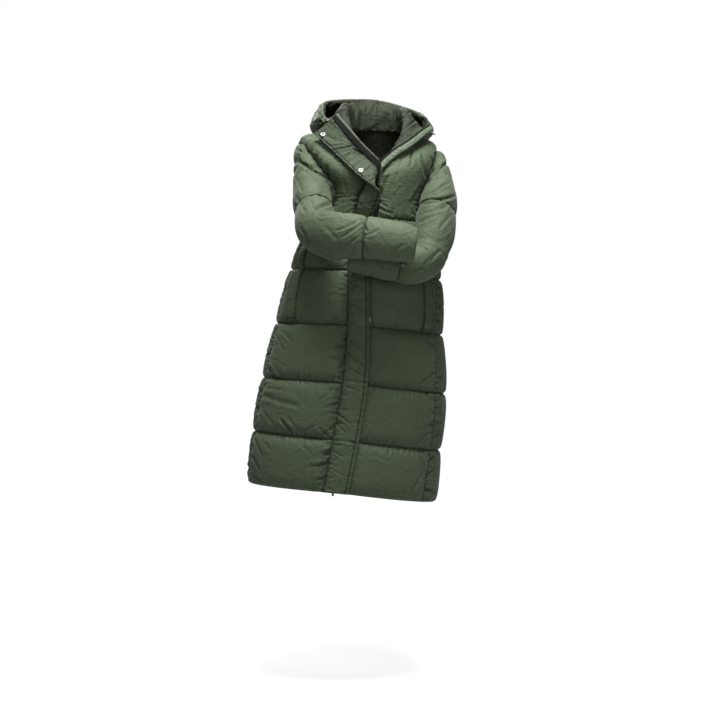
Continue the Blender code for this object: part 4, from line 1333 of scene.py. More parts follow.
@dataclass(frozen=True)
class Woven:
    """A finely woven cloth.

    Attributes:
        name: The material's name.
        colour: One of its two colours, mixed in soft random patches.
        worn: The other of the two, a little lighter.
        roughness: Mean roughness.
        sheen: Strength of the soft sheen at grazing angles.
        thread: Thread pitch in metres.
        weave: Depth of the weave's bump.
        crumple: Depth of the fine crumpling.
        dimmed: Brightness left where the painted shade of a fold or seam is deepest.
        gloss: Strength of the mirror reflection.
    """

    name: str
    colour: Triple
    worn: Triple
    roughness: float = 0.62
    sheen: float = 0.10
    thread: float = 0.0007
    weave: float = 0.00006
    crumple: float = 0.0013
    dimmed: float = 0.4
    gloss: float = 0.2

    def material(self) -> Material:
        """Builds the cloth's material from its sizes.

        Returns:
            The material.
        """
        nodes = Nodes(self.name)
        coordinates = nodes.add("ShaderNodeTexCoord").outputs
        body, cut = coordinates["Object"], coordinates["UV"]
        patches = nodes.band(nodes.noise(body, 5.0, 4.0), (0.35, 0.65), (0, 1))
        # Painted shade: the colour is darkened where the mesh's shade attribute marks a fold or seam.
        depth = nodes.add("ShaderNodeAttribute", attribute_name="hollow").outputs["Fac"]
        shade = nodes.add("ShaderNodeHueSaturation", {
            "Color": nodes.blend(patches, self.colour, self.worn),
            "Value": nodes.band(depth, (0, 1), (1.0, self.dimmed))})
        rough = nodes.band(nodes.noise(body, 60.0), (0.3, 0.7),
                           (self.roughness - 0.05, self.roughness + 0.06))
        warp, weft = (nodes.add("ShaderNodeTexWave", {"Scale": 1 / self.thread / 20, "Distortion": 0.6,
                                                      "Vector": cut}, wave_type="BANDS",
                                bands_direction=direction).outputs["Fac"] for direction in ("X", "Y"))
        over = nodes.add("ShaderNodeMath", {0: warp, 1: weft}, operation="MULTIPLY").outputs["Value"]
        crumple = nodes.bump(nodes.noise(body, 55.0, 4.0), self.crumple * 3.0, 0.8)
        fine = nodes.bump(nodes.noise(body, 170.0, 3.0), self.crumple * 1.3, 0.9, crumple)
        nodes.feed(nodes.shader, {
            "Base Color": shade.outputs["Color"], "Roughness": rough,
            "Normal": nodes.bump(over, self.weave, 0.5, fine), "Sheen Weight": self.sheen,
            "Sheen Roughness": 0.45, "Specular IOR Level": self.gloss})
        return nodes.material


@dataclass(frozen=True)
class Hard:
    """A metal or plastic finish with fine scratches.

    Attributes:
        name: The material's name.
        colour: Its colour.
        roughness: Mean roughness.
        metallic: 1 for bare metal, 0 for plastic.
        dulled: Brightness left in its dull patches.
        scratch: Depth of the scratches.
    """

    name: str
    colour: Triple
    roughness: float
    metallic: float = 0.0
    dulled: float = 0.82
    scratch: float = 0.00005

    def material(self) -> Material:
        """Builds the finish from its sizes.

        Returns:
            The material.
        """
        nodes = Nodes(self.name)
        body = nodes.add("ShaderNodeTexCoord").outputs["Object"]
        patches = nodes.band(nodes.noise(body, 400.0), (0.4, 0.7), (0, 1))
        dull = tuple(self.dulled * part for part in self.colour)
        rough = nodes.band(nodes.noise(body, 900.0), (0.3, 0.7),
                           (self.roughness - 0.08, self.roughness + 0.1))
        nodes.feed(nodes.shader, {
            "Base Color": nodes.blend(patches, self.colour, dull), "Roughness": rough,
            "Normal": nodes.bump(nodes.noise(body, 700.0), self.scratch, 0.3), "Metallic": self.metallic})
        return nodes.material


class Finishes:
    """Every finish of the coat, made once."""

    def __init__(self) -> None:
        """Builds the materials."""
        self.shell = Woven("olive_nylon", (0.053, 0.073, 0.040), (0.065, 0.087, 0.050)).material()
        # Painted shade: the lapel nylon is a darker copy of the shell nylon, for the shade that the hood and
        # head cast on the open lapel.
        self.lapel = Woven("lapel_nylon", (0.031, 0.043, 0.023), (0.040, 0.054, 0.030)).material()
        self.lining = Woven("lining_nylon", (0.015, 0.020, 0.011), (0.024, 0.030, 0.018), roughness=0.58,
                            sheen=0.0, gloss=0.12).material()
        self.binding = Woven("binding_nylon", (0.054, 0.074, 0.043), (0.070, 0.094, 0.057), roughness=0.5,
                             sheen=0.2).material()
        # Painted shade: the facing is a darker copy of the shell nylon, for the shade in the crevice beside
        # the zip.
        self.facing = Woven("facing_nylon", (0.034, 0.047, 0.028), (0.043, 0.059, 0.035), roughness=0.5,
                            sheen=0.1).material()
        self.tape = Woven("zip_tape", (0.006, 0.007, 0.005), (0.009, 0.011, 0.008), roughness=0.85, sheen=0.0,
                          thread=0.0012, weave=0.0003, gloss=0.05).material()
        self.thread = Woven("olive_thread", (0.013, 0.018, 0.011), (0.022, 0.028, 0.018), roughness=0.7,
                            sheen=0.0, thread=0.0004, weave=0.0001, crumple=0.0001).material()
        self.metal = Hard("silver_metal", (0.33, 0.33, 0.32), 0.36, 0.9).material()
        self.teeth = Hard("dark_teeth", (0.014, 0.017, 0.013), 0.5).material()
        self.plastic = Hard("olive_plastic", (0.13, 0.15, 0.115), 0.35).material()


# ---------------------------------------------------------------- stitches and teeth


class Repeat(Enum):
    """The bead that is repeated along a path, with its segments and rings."""

    STITCH = (5, 4)
    TOOTH = (8, 5)


class Row:
    """Small equal shapes set along a path, one at each step of it."""

    def __init__(self, shape: Repeat, pitch: float, size: Triple, material: Material) -> None:
        """Builds the Geometry Nodes tree, with named sizes.

        Args:
            shape: What is repeated.
            pitch: Distance between two of them.
            size: Each one's two widths and its length along the path.
            material: Its finish.
        """
        self.group = bpy.data.node_groups.new(shape.name.lower(), "GeometryNodeTree")
        sockets = self.group.interface
        sockets.new_socket("Path", in_out="INPUT", socket_type="NodeSocketGeometry")
        self.sizes = {}
        for label, value in zip(("Pitch", "Width", "Height", "Length"), (pitch, *size)):
            socket = sockets.new_socket(label, in_out="INPUT", socket_type="NodeSocketFloat")
            socket.default_value = value
            self.sizes[socket.identifier] = value
        sockets.new_socket("Mesh", in_out="OUTPUT", socket_type="NodeSocketGeometry")
        tree = Tree(self.group)
        given = tree.add("NodeGroupInput").outputs
        curve = tree.add("GeometryNodeMeshToCurve", {0: given["Path"]})
        spaced = tree.add("GeometryNodeResampleCurve", mode="LENGTH")
        tree.feed(spaced, {"Curve": curve.outputs[0], "Length": given["Pitch"]})
        segments, rings = shape.value
        bead = tree.add("GeometryNodeMeshUVSphere", {"Segments": segments, "Rings": rings, "Radius": 0.5})
        align = tree.add("FunctionNodeAlignRotationToVector",
                         {"Vector": tree.add("GeometryNodeInputTangent").outputs[0]}, axis="Z")
        scale = tree.add("ShaderNodeCombineXYZ",
                         {"X": given["Width"], "Y": given["Height"], "Z": given["Length"]})
        put = tree.add("GeometryNodeInstanceOnPoints", {
            "Points": spaced.outputs[0], "Instance": bead.outputs["Mesh"], "Rotation": align.outputs[0],
            "Scale": scale.outputs[0]})
        real = tree.add("GeometryNodeRealizeInstances", {0: put.outputs[0]})
        smooth = tree.add("GeometryNodeSetShadeSmooth", {0: real.outputs[0]})
        dress = tree.add("GeometryNodeSetMaterial", {0: smooth.outputs[0], "Material": material})
        tree.add("NodeGroupOutput", {0: dress.outputs[0]})

    def along(self, name: str, paths: Sequence[Grid]) -> Piece:
        """Sets the shapes along paths, as one plain mesh.

        Args:
            name: The piece's name.
            paths: Points of each path, in order.

        Returns:
            The new piece.
        """
        points, edges = [], []
        for path in paths:
            start = len(points)
            points += [tuple(point) for point in path]
            edges += [(start + index, start + index + 1) for index in range(len(path) - 1)]
        mesh = bpy.data.meshes.new(name + "_path")
        mesh.from_pydata(points, edges, [])
        guide = add_object(name + "_path", mesh)
        grower = guide.modifiers.new("grow", "NODES")
        grower.node_group = self.group
        for identifier, value in self.sizes.items():
            grower[identifier] = value
        grown = bpy.data.meshes.new_from_object(guide.evaluated_get(bpy.context.evaluated_depsgraph_get()))
        grown.name = name
        bpy.data.objects.remove(guide, do_unlink=True)
        bpy.data.meshes.remove(mesh)
        return add_object(name, grown)


# ---------------------------------------------------------------- sub-assemblies


def placed(*rows: Sequence[float]) -> tuple[Crease, ...]:
    """Names the numbers in each row of a table of creases."""
    return tuple(Crease(*row) for row in rows)


@dataclass
class BodyPanels:
    """The two fronts and the back."""

    finishes: Finishes
    how: Inflation = Inflation()
    back_width: float = 0.66
    front_width: float = 0.27
    slack: float = 0.75
    back_rise: float = 0.6
    flap_margin: float = 0.5
    flap_fade: float = 3.0
    fill: float = 0.6
    below_line: Gathers = Gathers(0.011, 0.012, 0.0034, 0.0012)
    above_line: Gathers = Gathers(0.010, 0.016, 0.0034, 0.0016)
    at_hem: Gathers = Gathers(0.016, 0.014)
    at_skirt_seam: Gathers = Gathers(0.013, 0.026, 0.0042, 0.0027)
    at_chest_seam: Gathers = Gathers(0.017)
    skirt_share: float = 0.6
    front_folds: int = 45
    back_folds: int = 110
    upright: Folds = Folds(0.045, 0.0036, 0.0007)
    level: Folds = Folds(0.035, 0.0032, 0.0007, (1.0, 0.0, 0.3))
    faces: dict[Panel, Grid] = field(default_factory=dict)
    lines: dict[Panel, list[int]] = field(default_factory=dict)
    angle_grids: dict[Panel, Grid] = field(default_factory=dict)

    def angles(self, panel: Panel, rows: Grid) -> Grid:
        """Finds the grid of angles of one panel.

        Args:
            panel: Which one.
            rows: Its body row numbers.

        Returns:
            Angles in degrees, rising to the wearer's left.
        """
        gap = gap_angle(rows)
        if panel is Panel.BACK:
            start = side_line(rows, Side.RIGHT, panel) - gap
            end = side_line(rows, Side.LEFT, panel) - 360 + gap
            shares = np.linspace(0, 1, whole_steps(self.back_width, CLOTH_SPACING) + 1)
            return spread(start, end, shares)[:, ::-1]
        shares = np.linspace(0, 1, whole_steps(self.front_width, CLOTH_SPACING) + 1)
        if panel is Panel.FRONT_LEFT:
            return spread(front_line(rows, "left_edge"), side_line(rows, Side.LEFT, panel) - gap, shares)
        seam = front_line(rows, "flap_seam")
        main = spread(side_line(rows, Side.RIGHT, panel) + gap, seam, shares)
        placket = spread(seam, front_line(rows, "right_edge"), np.linspace(0, 1, INNER_STEP + 1)[1:])
        return np.concatenate([main, placket], axis=1)

    def room(self, panel: Panel, rows: Grid, angles: Grid) -> Grid:
        """Finds how much of its rise each point of a panel may use.

        Args:
            panel: Which one.
            rows: Its body row numbers.
            angles: Its angles in degrees.

        Returns:
            Shares from 0, under the flap, to 1.
        """
        if panel is not Panel.FRONT_LEFT:
            return np.full(angles.shape, self.back_rise if panel is Panel.BACK else 1.0)
        shut_flap = front_line(np.minimum(rows, LAST_QUILT_ROW), "flap_edge")
        cover = np.where(rows < SHOULDER_ROW - 1, shut_flap, -180.0)
        return np.clip((angles - cover[:, None] - self.flap_margin) / self.flap_fade, 0, 1)

    def build(self, panel: Panel, seed: int) -> Piece:
        """Builds one quilted panel.

        Args:
            panel: Which one.
            seed: Fixes its gathers.

        Returns:
            The panel's object.
        """
        rows = body_rows()
        angles = self.angles(panel, rows)
        row_grid = np.broadcast_to(rows[:, None], angles.shape)
        puff = panel_puff(row_grid, angles, panel)
        solid = body_offset(row_grid, angles, puff)
        first_tall = LAST_QUILT_ROW + (1 if panel is Panel.BACK else 0)
        quilt = [int(np.argmin(np.abs(rows - line))) for line in range(first_tall + 1)] + [len(rows) - 1]
        pinned = edge_pins(solid.shape)
        pinned[quilt] = True
        flap_seam = angles.shape[1] - 1 - INNER_STEP
        if panel is Panel.FRONT_RIGHT:
            pinned[:, flap_seam:] = True
        start = np.where(pinned[..., None], solid, body_offset(row_grid, angles, puff * self.slack))
        sheet = inflate(panel.value + "_sheet", start, solid, pinned, False, self.how,
                        self.room(panel, rows, angles))
        relief = Relief(refine(sheet), False, seed)
        lines = [2 * line for line in quilt]
        seams = {Panel.FRONT_RIGHT: ((0, 1), (2 * flap_seam, -1)), Panel.FRONT_LEFT: ((relief.last, -1),),
                 Panel.BACK: ((0, 1), (relief.last, -1))}[panel]
        self.gather(relief, lines[1:-1], seams, self.back_folds if panel is Panel.BACK else self.front_folds)
        relief.creases(PANEL_CREASES.get(panel, ()))
        self.faces[panel], self.lines[panel], self.angle_grids[panel] = relief.pressed(), lines, angles
        inner_rows, inner_angles = rows[::HALF_STEP], angles[::HALF_STEP, ::HALF_STEP]
        inner = body_offset(np.broadcast_to(inner_rows[:, None], inner_angles.shape), inner_angles,
                            np.full(inner_angles.shape, -WALL))
        hollow = relief.painted_shades(lines[1:-1], [column for column, _ in seams])
        return padded(panel.value, self.faces[panel], inner, (self.finishes.shell, self.finishes.lining),
                      hollow, self.fill)

    def gather(self, relief: Relief, lines: Sequence[int], seams: Iterable[tuple[int, int]],
               count: int) -> None:
        """Gathers and folds the cloth of one panel.

        Args:
            relief: The panel's relief.
            lines: Rows of its quilt lines.
            seams: Columns of its long seams, each with the side that its gathers lie on.
            count: How many upright folds it has.
        """
        for line in lines:
            relief.gathers(self.below_line, row=line, way=-1)
            relief.gathers(self.above_line, row=line)
        relief.gathers(self.at_hem, row=0)
        relief.folds(count, self.upright)
        relief.folds(count // 2, self.level)
        for column, way in seams:
            relief.gathers(self.at_skirt_seam, column=column, way=way, last=self.skirt_share)
            relief.gathers(self.at_chest_seam, column=column, way=way, first=self.skirt_share)

    def skin(self, panel: Panel, rows: Grid, angles: Grid) -> Grid:
        """Reads a front's finished outer face.

        Args:
            panel: Which front.
            rows: Body row numbers, one for each row of points.
            angles: Angles in degrees, a row of them for each row number.

        Returns:
            The points.
        """
        table, known = body_rows(), self.angle_grids[panel]
        last = known.shape[1] - 1 - (INNER_STEP if panel is Panel.FRONT_RIGHT else 0)
        where = np.interp(rows, table, np.arange(len(table)))
        start, end = (np.interp(where, np.arange(len(table)), known[:, column]) for column in (0, last))
        across = (angles - start[:, None]) / (end - start)[:, None] * last
        return read_grid(self.faces[panel], np.broadcast_to(2 * where[:, None], across.shape), 2 * across)


PANEL_CREASES: dict[Panel, tuple[Crease, ...]] = {
    Panel.FRONT_RIGHT: placed(
        (266, 366, 276, 380, 4.5, 2.5), (271, 361, 283, 377, 4.0, 1.2, 2.0),
        (333, 379, 345, 362, 4.5, 2.0, -2.0), (326, 381, 338, 366, 4.0, 1.4),
        (340, 372, 346, 352, 4.0, 1.6), (336, 345, 346, 338, 3.5, 1.0),
        (261, 394, 300, 406, 9.0, 2.2, 4.0), (264, 388, 284, 390, 6.0, 1.8),
        (280, 419, 292, 434, 5.0, 3.8), (286, 416, 299, 431, 5.0, 1.6), (303, 432, 316, 425, 5.0, 1.8),
        (318, 427, 332, 440, 5.0, 2.6), (262, 410, 274, 426, 5.0, 1.6), (320, 400, 334, 388, 5.0, 1.6),
        (254, 438, 262, 457, 5.0, 2.6), (252, 455, 259, 470, 4.5, 2.4), (262, 440, 272, 452, 5.0, 1.4),
        (252, 474, 264, 483, 4.0, 1.8), (300, 443, 312, 455, 6.0, 1.2), (318, 470, 326, 455, 4.0, 1.2),
        (281, 330, 292, 342, 5.0, 1.6), (276, 335, 283, 350, 4.0, 1.8), (325, 300, 345, 288, 6.0, 1.2),
        (330, 322, 345, 310, 5.0, 1.4), (326, 168, 336, 188, 6.0, 1.4, 2.0)),
    Panel.FRONT_LEFT: placed(
        (411.5, 150, 410.8, 166, 5.5, 3.0), (421.5, 153, 426, 178, 6.0, 3.6),
        (402, 156, 400, 166, 5.0, 1.4), (390, 172, 378, 205, 7.0, 1.8, 3.0),
        (384, 168, 376, 190, 4.0, 1.6), (376, 200, 388, 208, 4.5, 1.8), (377, 208, 392, 214, 4.5, 1.8),
        (421, 186, 410, 204, 6.0, 1.6), (368, 397, 377, 389, 4.0, 2.0), (367, 404, 374, 398, 3.5, 1.4),
        (368, 383, 380, 368, 4.5, 1.6), (425, 392, 437, 404, 5.0, 2.8), (420, 384, 436, 372, 5.0, 1.8),
        (400, 392, 418, 398, 5.0, 1.0), (368, 340, 378, 332, 4.0, 1.4), (425, 340, 437, 350, 5.0, 2.4),
        (414, 446, 428, 434, 5.0, 1.8), (419, 452, 424, 470, 4.5, 2.0), (363, 442, 372, 430, 4.5, 1.4),
        (412, 492, 421, 476, 4.5, 1.8), (372, 455, 392, 462, 7.0, 1.0), (385, 300, 405, 312, 7.0, 1.0)),
}


@dataclass
class Sleeves:
    """Both sleeves, folded across the chest."""

    finishes: Finishes
    how: Inflation = Inflation(growth=0.09, pressure=4.0, above=0.0035, below=0.008)
    columns: int = 60
    slack: float = 0.75
    elbow_share: float = 0.62
    root_share: float = 0.45
    fuller_each_metre: float = 2.5
    fill: float = 0.5
    at_line: Gathers = Gathers(0.014, 0.018, 0.0045, 0.0016)
    at_cuff: Gathers = Gathers(0.012, 0.012, 0.0042, 0.0008)
    at_armhole: Gathers = Gathers(0.014, 0.020, 0.0042, 0.0016)
    folds: int = 60
    crumples: Folds = Folds(0.04, 0.0040, 0.0008, (1.0, 0.0, 0.5), 0.8)
    faces: dict[Side, Grid] = field(default_factory=dict)
    rings: dict[Side, list[int]] = field(default_factory=dict)

    def layout(self, form: SleeveForm) -> tuple[list[float], list[float], list[int]]:
        """Sets out the rows of a sleeve.

        Args:
            form: The sleeve's form.

        Returns:
            How far along each row lies, how far it puffs out, and which rows are quilt lines.
        """
        elbow = form.lines[3]
        places, heights, rings = [], [], []
        for start, end in zip(form.lines, form.lines[1:]):
            count = whole_steps(end - start, CLOTH_SPACING)
            rings.append(len(places))
            for step in range(count):
                full = float(pillow(step / count))
                if elbow in (start, end) and (step / count < 0.5) == (start == elbow):
                    full = max(full, self.elbow_share)
                places.append(start + (end - start) * step / count)
                share = min(1.0, self.root_share + self.fuller_each_metre * start)
                heights.append(full * SLEEVE_PUFF * share)
        return [*places, form.length], [*heights, 0.0], [*rings, len(places)]

    def build(self, side: Side, seed: int) -> Piece:
        """Builds one sleeve.

        Args:
            side: Which arm.
            seed: Fixes its gathers.

        Returns:
            The sleeve's object.
        """
        form = SleeveForm(side, *SLEEVES[side], self.columns)
        places, heights, rings = self.layout(form)
        solid, low, inner = (
            np.array([form.section(at, SLEEVE_PUFF + wall, root, share * height)
                      for at, height in zip(places, heights)])
            for share, wall, root in ((1.0, 0.0, form.root), (self.slack, 0.0, form.root),
                                      (0.0, WALL, form.root_inner)))
        if (facing(solid, True) * (solid - solid.mean(axis=1, keepdims=True))).sum() < 0:
            solid, low, inner = (grid[:, ::-1] for grid in (solid, low, inner))
        pinned = np.zeros(solid.shape[:2], bool)
        pinned[[ring for ring in rings if ring != rings[3]]] = True
        sheet = inflate(side.name.lower() + "_sleeve_sheet", low, solid, pinned, True, self.how)
        relief = Relief(refine(sheet, True), True, seed)
        seams = [2 * rings[number] for number in (1, 2, 4)]
        for ring in seams:
            for way in (-1, 1):
                relief.gathers(self.at_line, row=ring, way=way)
        relief.gathers(self.at_cuff, row=-1, way=-1)
        relief.gathers(self.at_armhole, row=0)
        relief.folds(self.folds, self.crumples)
        relief.creases(SLEEVE_CREASES[side])
        self.faces[side], self.rings[side] = relief.pressed(), [2 * ring for ring in rings]
        return padded("sleeve_" + side.name.lower(), self.faces[side], inner[::HALF_STEP, ::HALF_STEP],
                      (self.finishes.shell, self.finishes.lining), relief.painted_shades([0, *seams]), self.fill,
                      closed=True)


SLEEVE_CREASES: dict[Side, tuple[Crease, ...]] = {
    Side.RIGHT: placed(
        (298, 143, 312, 154, 5.0, 3.0), (294, 148, 308, 155, 4.5, 2.6),
        (298, 160, 332, 180, 7.0, 4.2, 3.0), (304, 171, 322, 184, 5.5, 1.8),
        (314, 209, 335, 202, 6.5, 4.6), (310, 200, 318, 212, 5.0, 2.8), (318, 216, 338, 214, 5.5, 1.6),
        (301, 228, 310, 246, 5.5, 2.4), (296, 196, 306, 214, 6.0, 1.8), (341, 238, 363, 223, 4.5, 2.6),
        (336, 231, 362, 219, 4.5, 2.0, 2.0), (345, 247, 359, 236, 4.0, 2.0),
        (348, 257, 357, 246, 4.0, 1.8), (361, 218, 367, 232, 4.0, 3.0), (367, 236, 380, 229, 4.5, 1.4),
        (362, 247, 374, 252, 4.5, 1.2), (388, 256, 404, 244, 6.5, 1.2), (318, 250, 334, 258, 6.5, 1.8),
        (296, 176, 302, 192, 5.5, 1.8), (324, 226, 338, 240, 7.0, 1.2)),
    Side.LEFT: placed(
        (430, 173, 449, 163, 5.5, 3.4), (428, 181, 447, 175, 5.0, 2.0),
        (420, 204, 455, 196, 6.0, 4.4, 2.0), (425, 196, 446, 184, 5.0, 2.4),
        (432, 192, 452, 181, 5.0, 2.0), (424, 214, 446, 207, 5.5, 2.0), (438, 150, 448, 160, 5.5, 2.0),
        (418, 223, 436, 215, 5.5, 1.8), (440, 228, 452, 214, 6.0, 1.6), (404, 262, 405, 276, 4.0, 1.8),
        (408, 274, 424, 268, 5.5, 1.8), (380, 266, 398, 272, 6.0, 1.2), (430, 262, 440, 250, 6.0, 1.8),
        (352, 268, 364, 274, 5.0, 1.6)),
}


@dataclass
class Hood:
    """The hood, hanging open behind the neck: three padded parts and their lining."""

    finishes: Finishes
    how: Inflation = Inflation(growth=0.05, pressure=2.5, above=0.003, below=0.005)
    lining_how: Inflation = Inflation(growth=0.035, pressure=0.3, above=0.004, below=0.001, bending=0.005)
    ends: Pair = (-33.5, -333.5)
    overlap: float = 0.3
    lines: int = INNER_STEP * 14
    slack: float = 0.6
    stiff_until: float = 1.6
    fill: float = 0.35
    lining_gap: float = 0.0009
    lining_thickness: float = 0.0032
    lining_wave: Pair = (0.03, 0.0012)
    folds: int = 70
    lining_folds: int = 16
    at_seam: Gathers = Gathers(0.013, 0.016, 0.0042, 0.0011)
    at_rim: Gathers = Gathers(0.010, 0.018, 0.0036, 0.0022)
    at_neck: Gathers = Gathers(0.012, 0.014, 0.0042, 0.0010)
    crumples: Folds = Folds(0.05, 0.0042, 0.0014, (0.0, 0.3, 1.0), 0.8)
    lining_at_rim: Gathers = Gathers(0.014, 0.020, 0.0042, 0.0012)
    lining_at_neck: Gathers = Gathers(0.022, 0.018, 0.0042, 0.0006)
    lining_crumples: Folds = Folds(0.07, 0.0070, 0.0020, (0.0, 0.3, 1.0), 0.9)
    faces: dict[str, Grid] = field(default_factory=dict)

    def columns(self, start: float, end: float) -> Grid:
        """Neck angles between two of them, evenly spaced over the hood."""
        middle = hood_grid(np.linspace(start, end, 40), np.array([2.9, 3.0]))[0][1]
        return np.linspace(start, end, whole_steps(steps_between(middle, 0).sum(), CLOTH_SPACING) + 1)

    def build(self) -> None:
        """Builds the three parts and the lining."""
        steps = np.linspace(0, 5, self.lines + 1)
        low, high = HOOD_SEAM_ANGLES
        bounds = {"hood_right": (self.ends[0], low + self.overlap),
                  "hood_centre": (low - self.overlap, high + self.overlap),
                  "hood_left": (high - self.overlap, self.ends[1])}
        for seed, (name, (start, end)) in enumerate(bounds.items(), 31):
            self.build_part(name, self.columns(start, end), steps, seed)
        self.build_lining(steps)

    def build_part(self, name: str, angles: Grid, steps: Grid, seed: int) -> None:
        """Builds one padded part.

        Args:
            name: The solid's name.
            angles: Neck angles of its columns.
            steps: Places of its rows along the hood's lines.
            seed: Fixes its gathers.
        """
        base, lining_way = hood_grid(angles, steps)
        puffs = np.interp(steps, HOOD_PUFF_STEPS, HOOD_PUFFS)
        height = puffs[:, None] * pillow(np.linspace(0, 1, len(angles)))[None, :]
        solid = (base - lining_way * height[..., None])[:, ::-1]
        pinned = edge_pins(solid.shape)
        pinned[steps <= self.stiff_until] = True
        low = (1 - self.slack) * base[:, ::-1] + self.slack * solid
        start = np.where(pinned[..., None], solid, low)
        sheet = inflate(name + "_sheet", start, solid, pinned, False, self.how)
        relief = Relief(refine(sheet), False, seed)
        relief.side_gathers(self.at_seam)
        relief.gathers(self.at_rim, row=-1, way=-1)
        relief.gathers(self.at_neck, row=0)
        relief.folds(self.folds, self.crumples)
        relief.creases(HOOD_CREASES)
        loose = np.linspace(0, 5, relief.grid.shape[0]) - self.stiff_until
        relief.height *= np.clip(loose, 0, 1)[:, None]
        self.faces[name] = relief.pressed()
        inner = hood_grid(angles, steps, WALL)[0][:, ::-1][::HALF_STEP, ::HALF_STEP]
        padded(name, self.faces[name], inner, (self.finishes.shell, self.finishes.lining),
               relief.painted_shades(columns=(0, relief.last)), self.fill)

    def build_lining(self, steps: Grid) -> None:
        """Builds the lining, a loose crumpled sheet on the hood's inner side.

        Args:
            steps: Places of its rows along the hood's lines.
        """
        near, lining_way = hood_grid(self.columns(*self.ends), steps, WALL + self.lining_gap)
        top = near + lining_way * self.lining_thickness
        pinned = edge_pins(top.shape)
        wavy = Relief(top, False, 45)
        wavy.ripple(*self.lining_wave)
        sheet = inflate("lining_sheet", np.where(pinned[..., None], top, wavy.pressed()), top, pinned,
                        False, self.lining_how)
        relief = Relief(refine(sheet), False, 47)
        relief.gathers(self.lining_at_neck, row=0)
        relief.gathers(self.lining_at_rim, row=-1, way=-1)
        relief.folds(self.lining_folds, self.lining_crumples)
        relief.creases(LINING_CREASES)
        outer = relief.pressed()
        piece = cloth_wall("hood_lining_cloth", outer, near[::HALF_STEP, ::HALF_STEP], False,
                           (self.finishes.lining,), INNER_STEP, relief.painted_shades())
        place(piece, "lining", ["hood_lining"])


HOOD_CREASES = placed(
    (322, 104, 342, 95, 5.0, 2.2), (316, 118, 324, 108, 5.0, 2.2), (313, 130, 321, 120, 4.5, 1.8),
    (330, 100, 340, 105, 4.0, 1.4), (409, 112, 415, 104, 4.5, 2.0), (418, 118, 424, 110, 4.5, 2.2),
    (426, 125, 431, 117, 4.0, 2.0))
LINING_CREASES = placed(
    (322, 112, 334, 104, 4.0, 2.2), (324, 119, 346, 110, 4.5, 2.6), (332, 124, 350, 116, 4.0, 2.0),
    (398, 122, 412, 110, 4.5, 2.4), (396, 134, 420, 118, 4.5, 2.4), (388, 146, 408, 132, 4.5, 2.4),
    (382, 156, 394, 142, 4.0, 2.0), (350, 132, 362, 146, 4.0, 2.0))


def smoothed(grid: Grid, times: int) -> Grid:
    """Evens out a grid's small bumps.

    Args:
        grid: The points.
        times: How often each is moved towards its neighbours.

    Returns:
        The new points.
    """
    for _ in range(times):
        wide = np.pad(grid, ((1, 1), (1, 1), (0, 0)), "edge")
        grid = (4 * grid + wide[:-2, 1:-1] + wide[2:, 1:-1] + wide[1:-1, :-2] + wide[1:-1, 2:]) / 8
    return grid


def read_grid(grid: Grid, row: Grid, column: Grid) -> Grid:
    """Reads a grid between its points.

    Args:
        grid: The points.
        row: Fractional rows.
        column: Fractional columns.

    Returns:
        The points there.
    """
    low_row = np.clip(np.floor(row).astype(int), 0, grid.shape[0] - 2)
    low_column = np.clip(np.floor(column).astype(int), 0, grid.shape[1] - 2)
    up, right = (row - low_row)[..., None], (column - low_column)[..., None]
    low, high = (grid[line, low_column] * (1 - right) + grid[line, low_column + 1] * right
                 for line in (low_row, low_row + 1))
    return low * (1 - up) + high * up


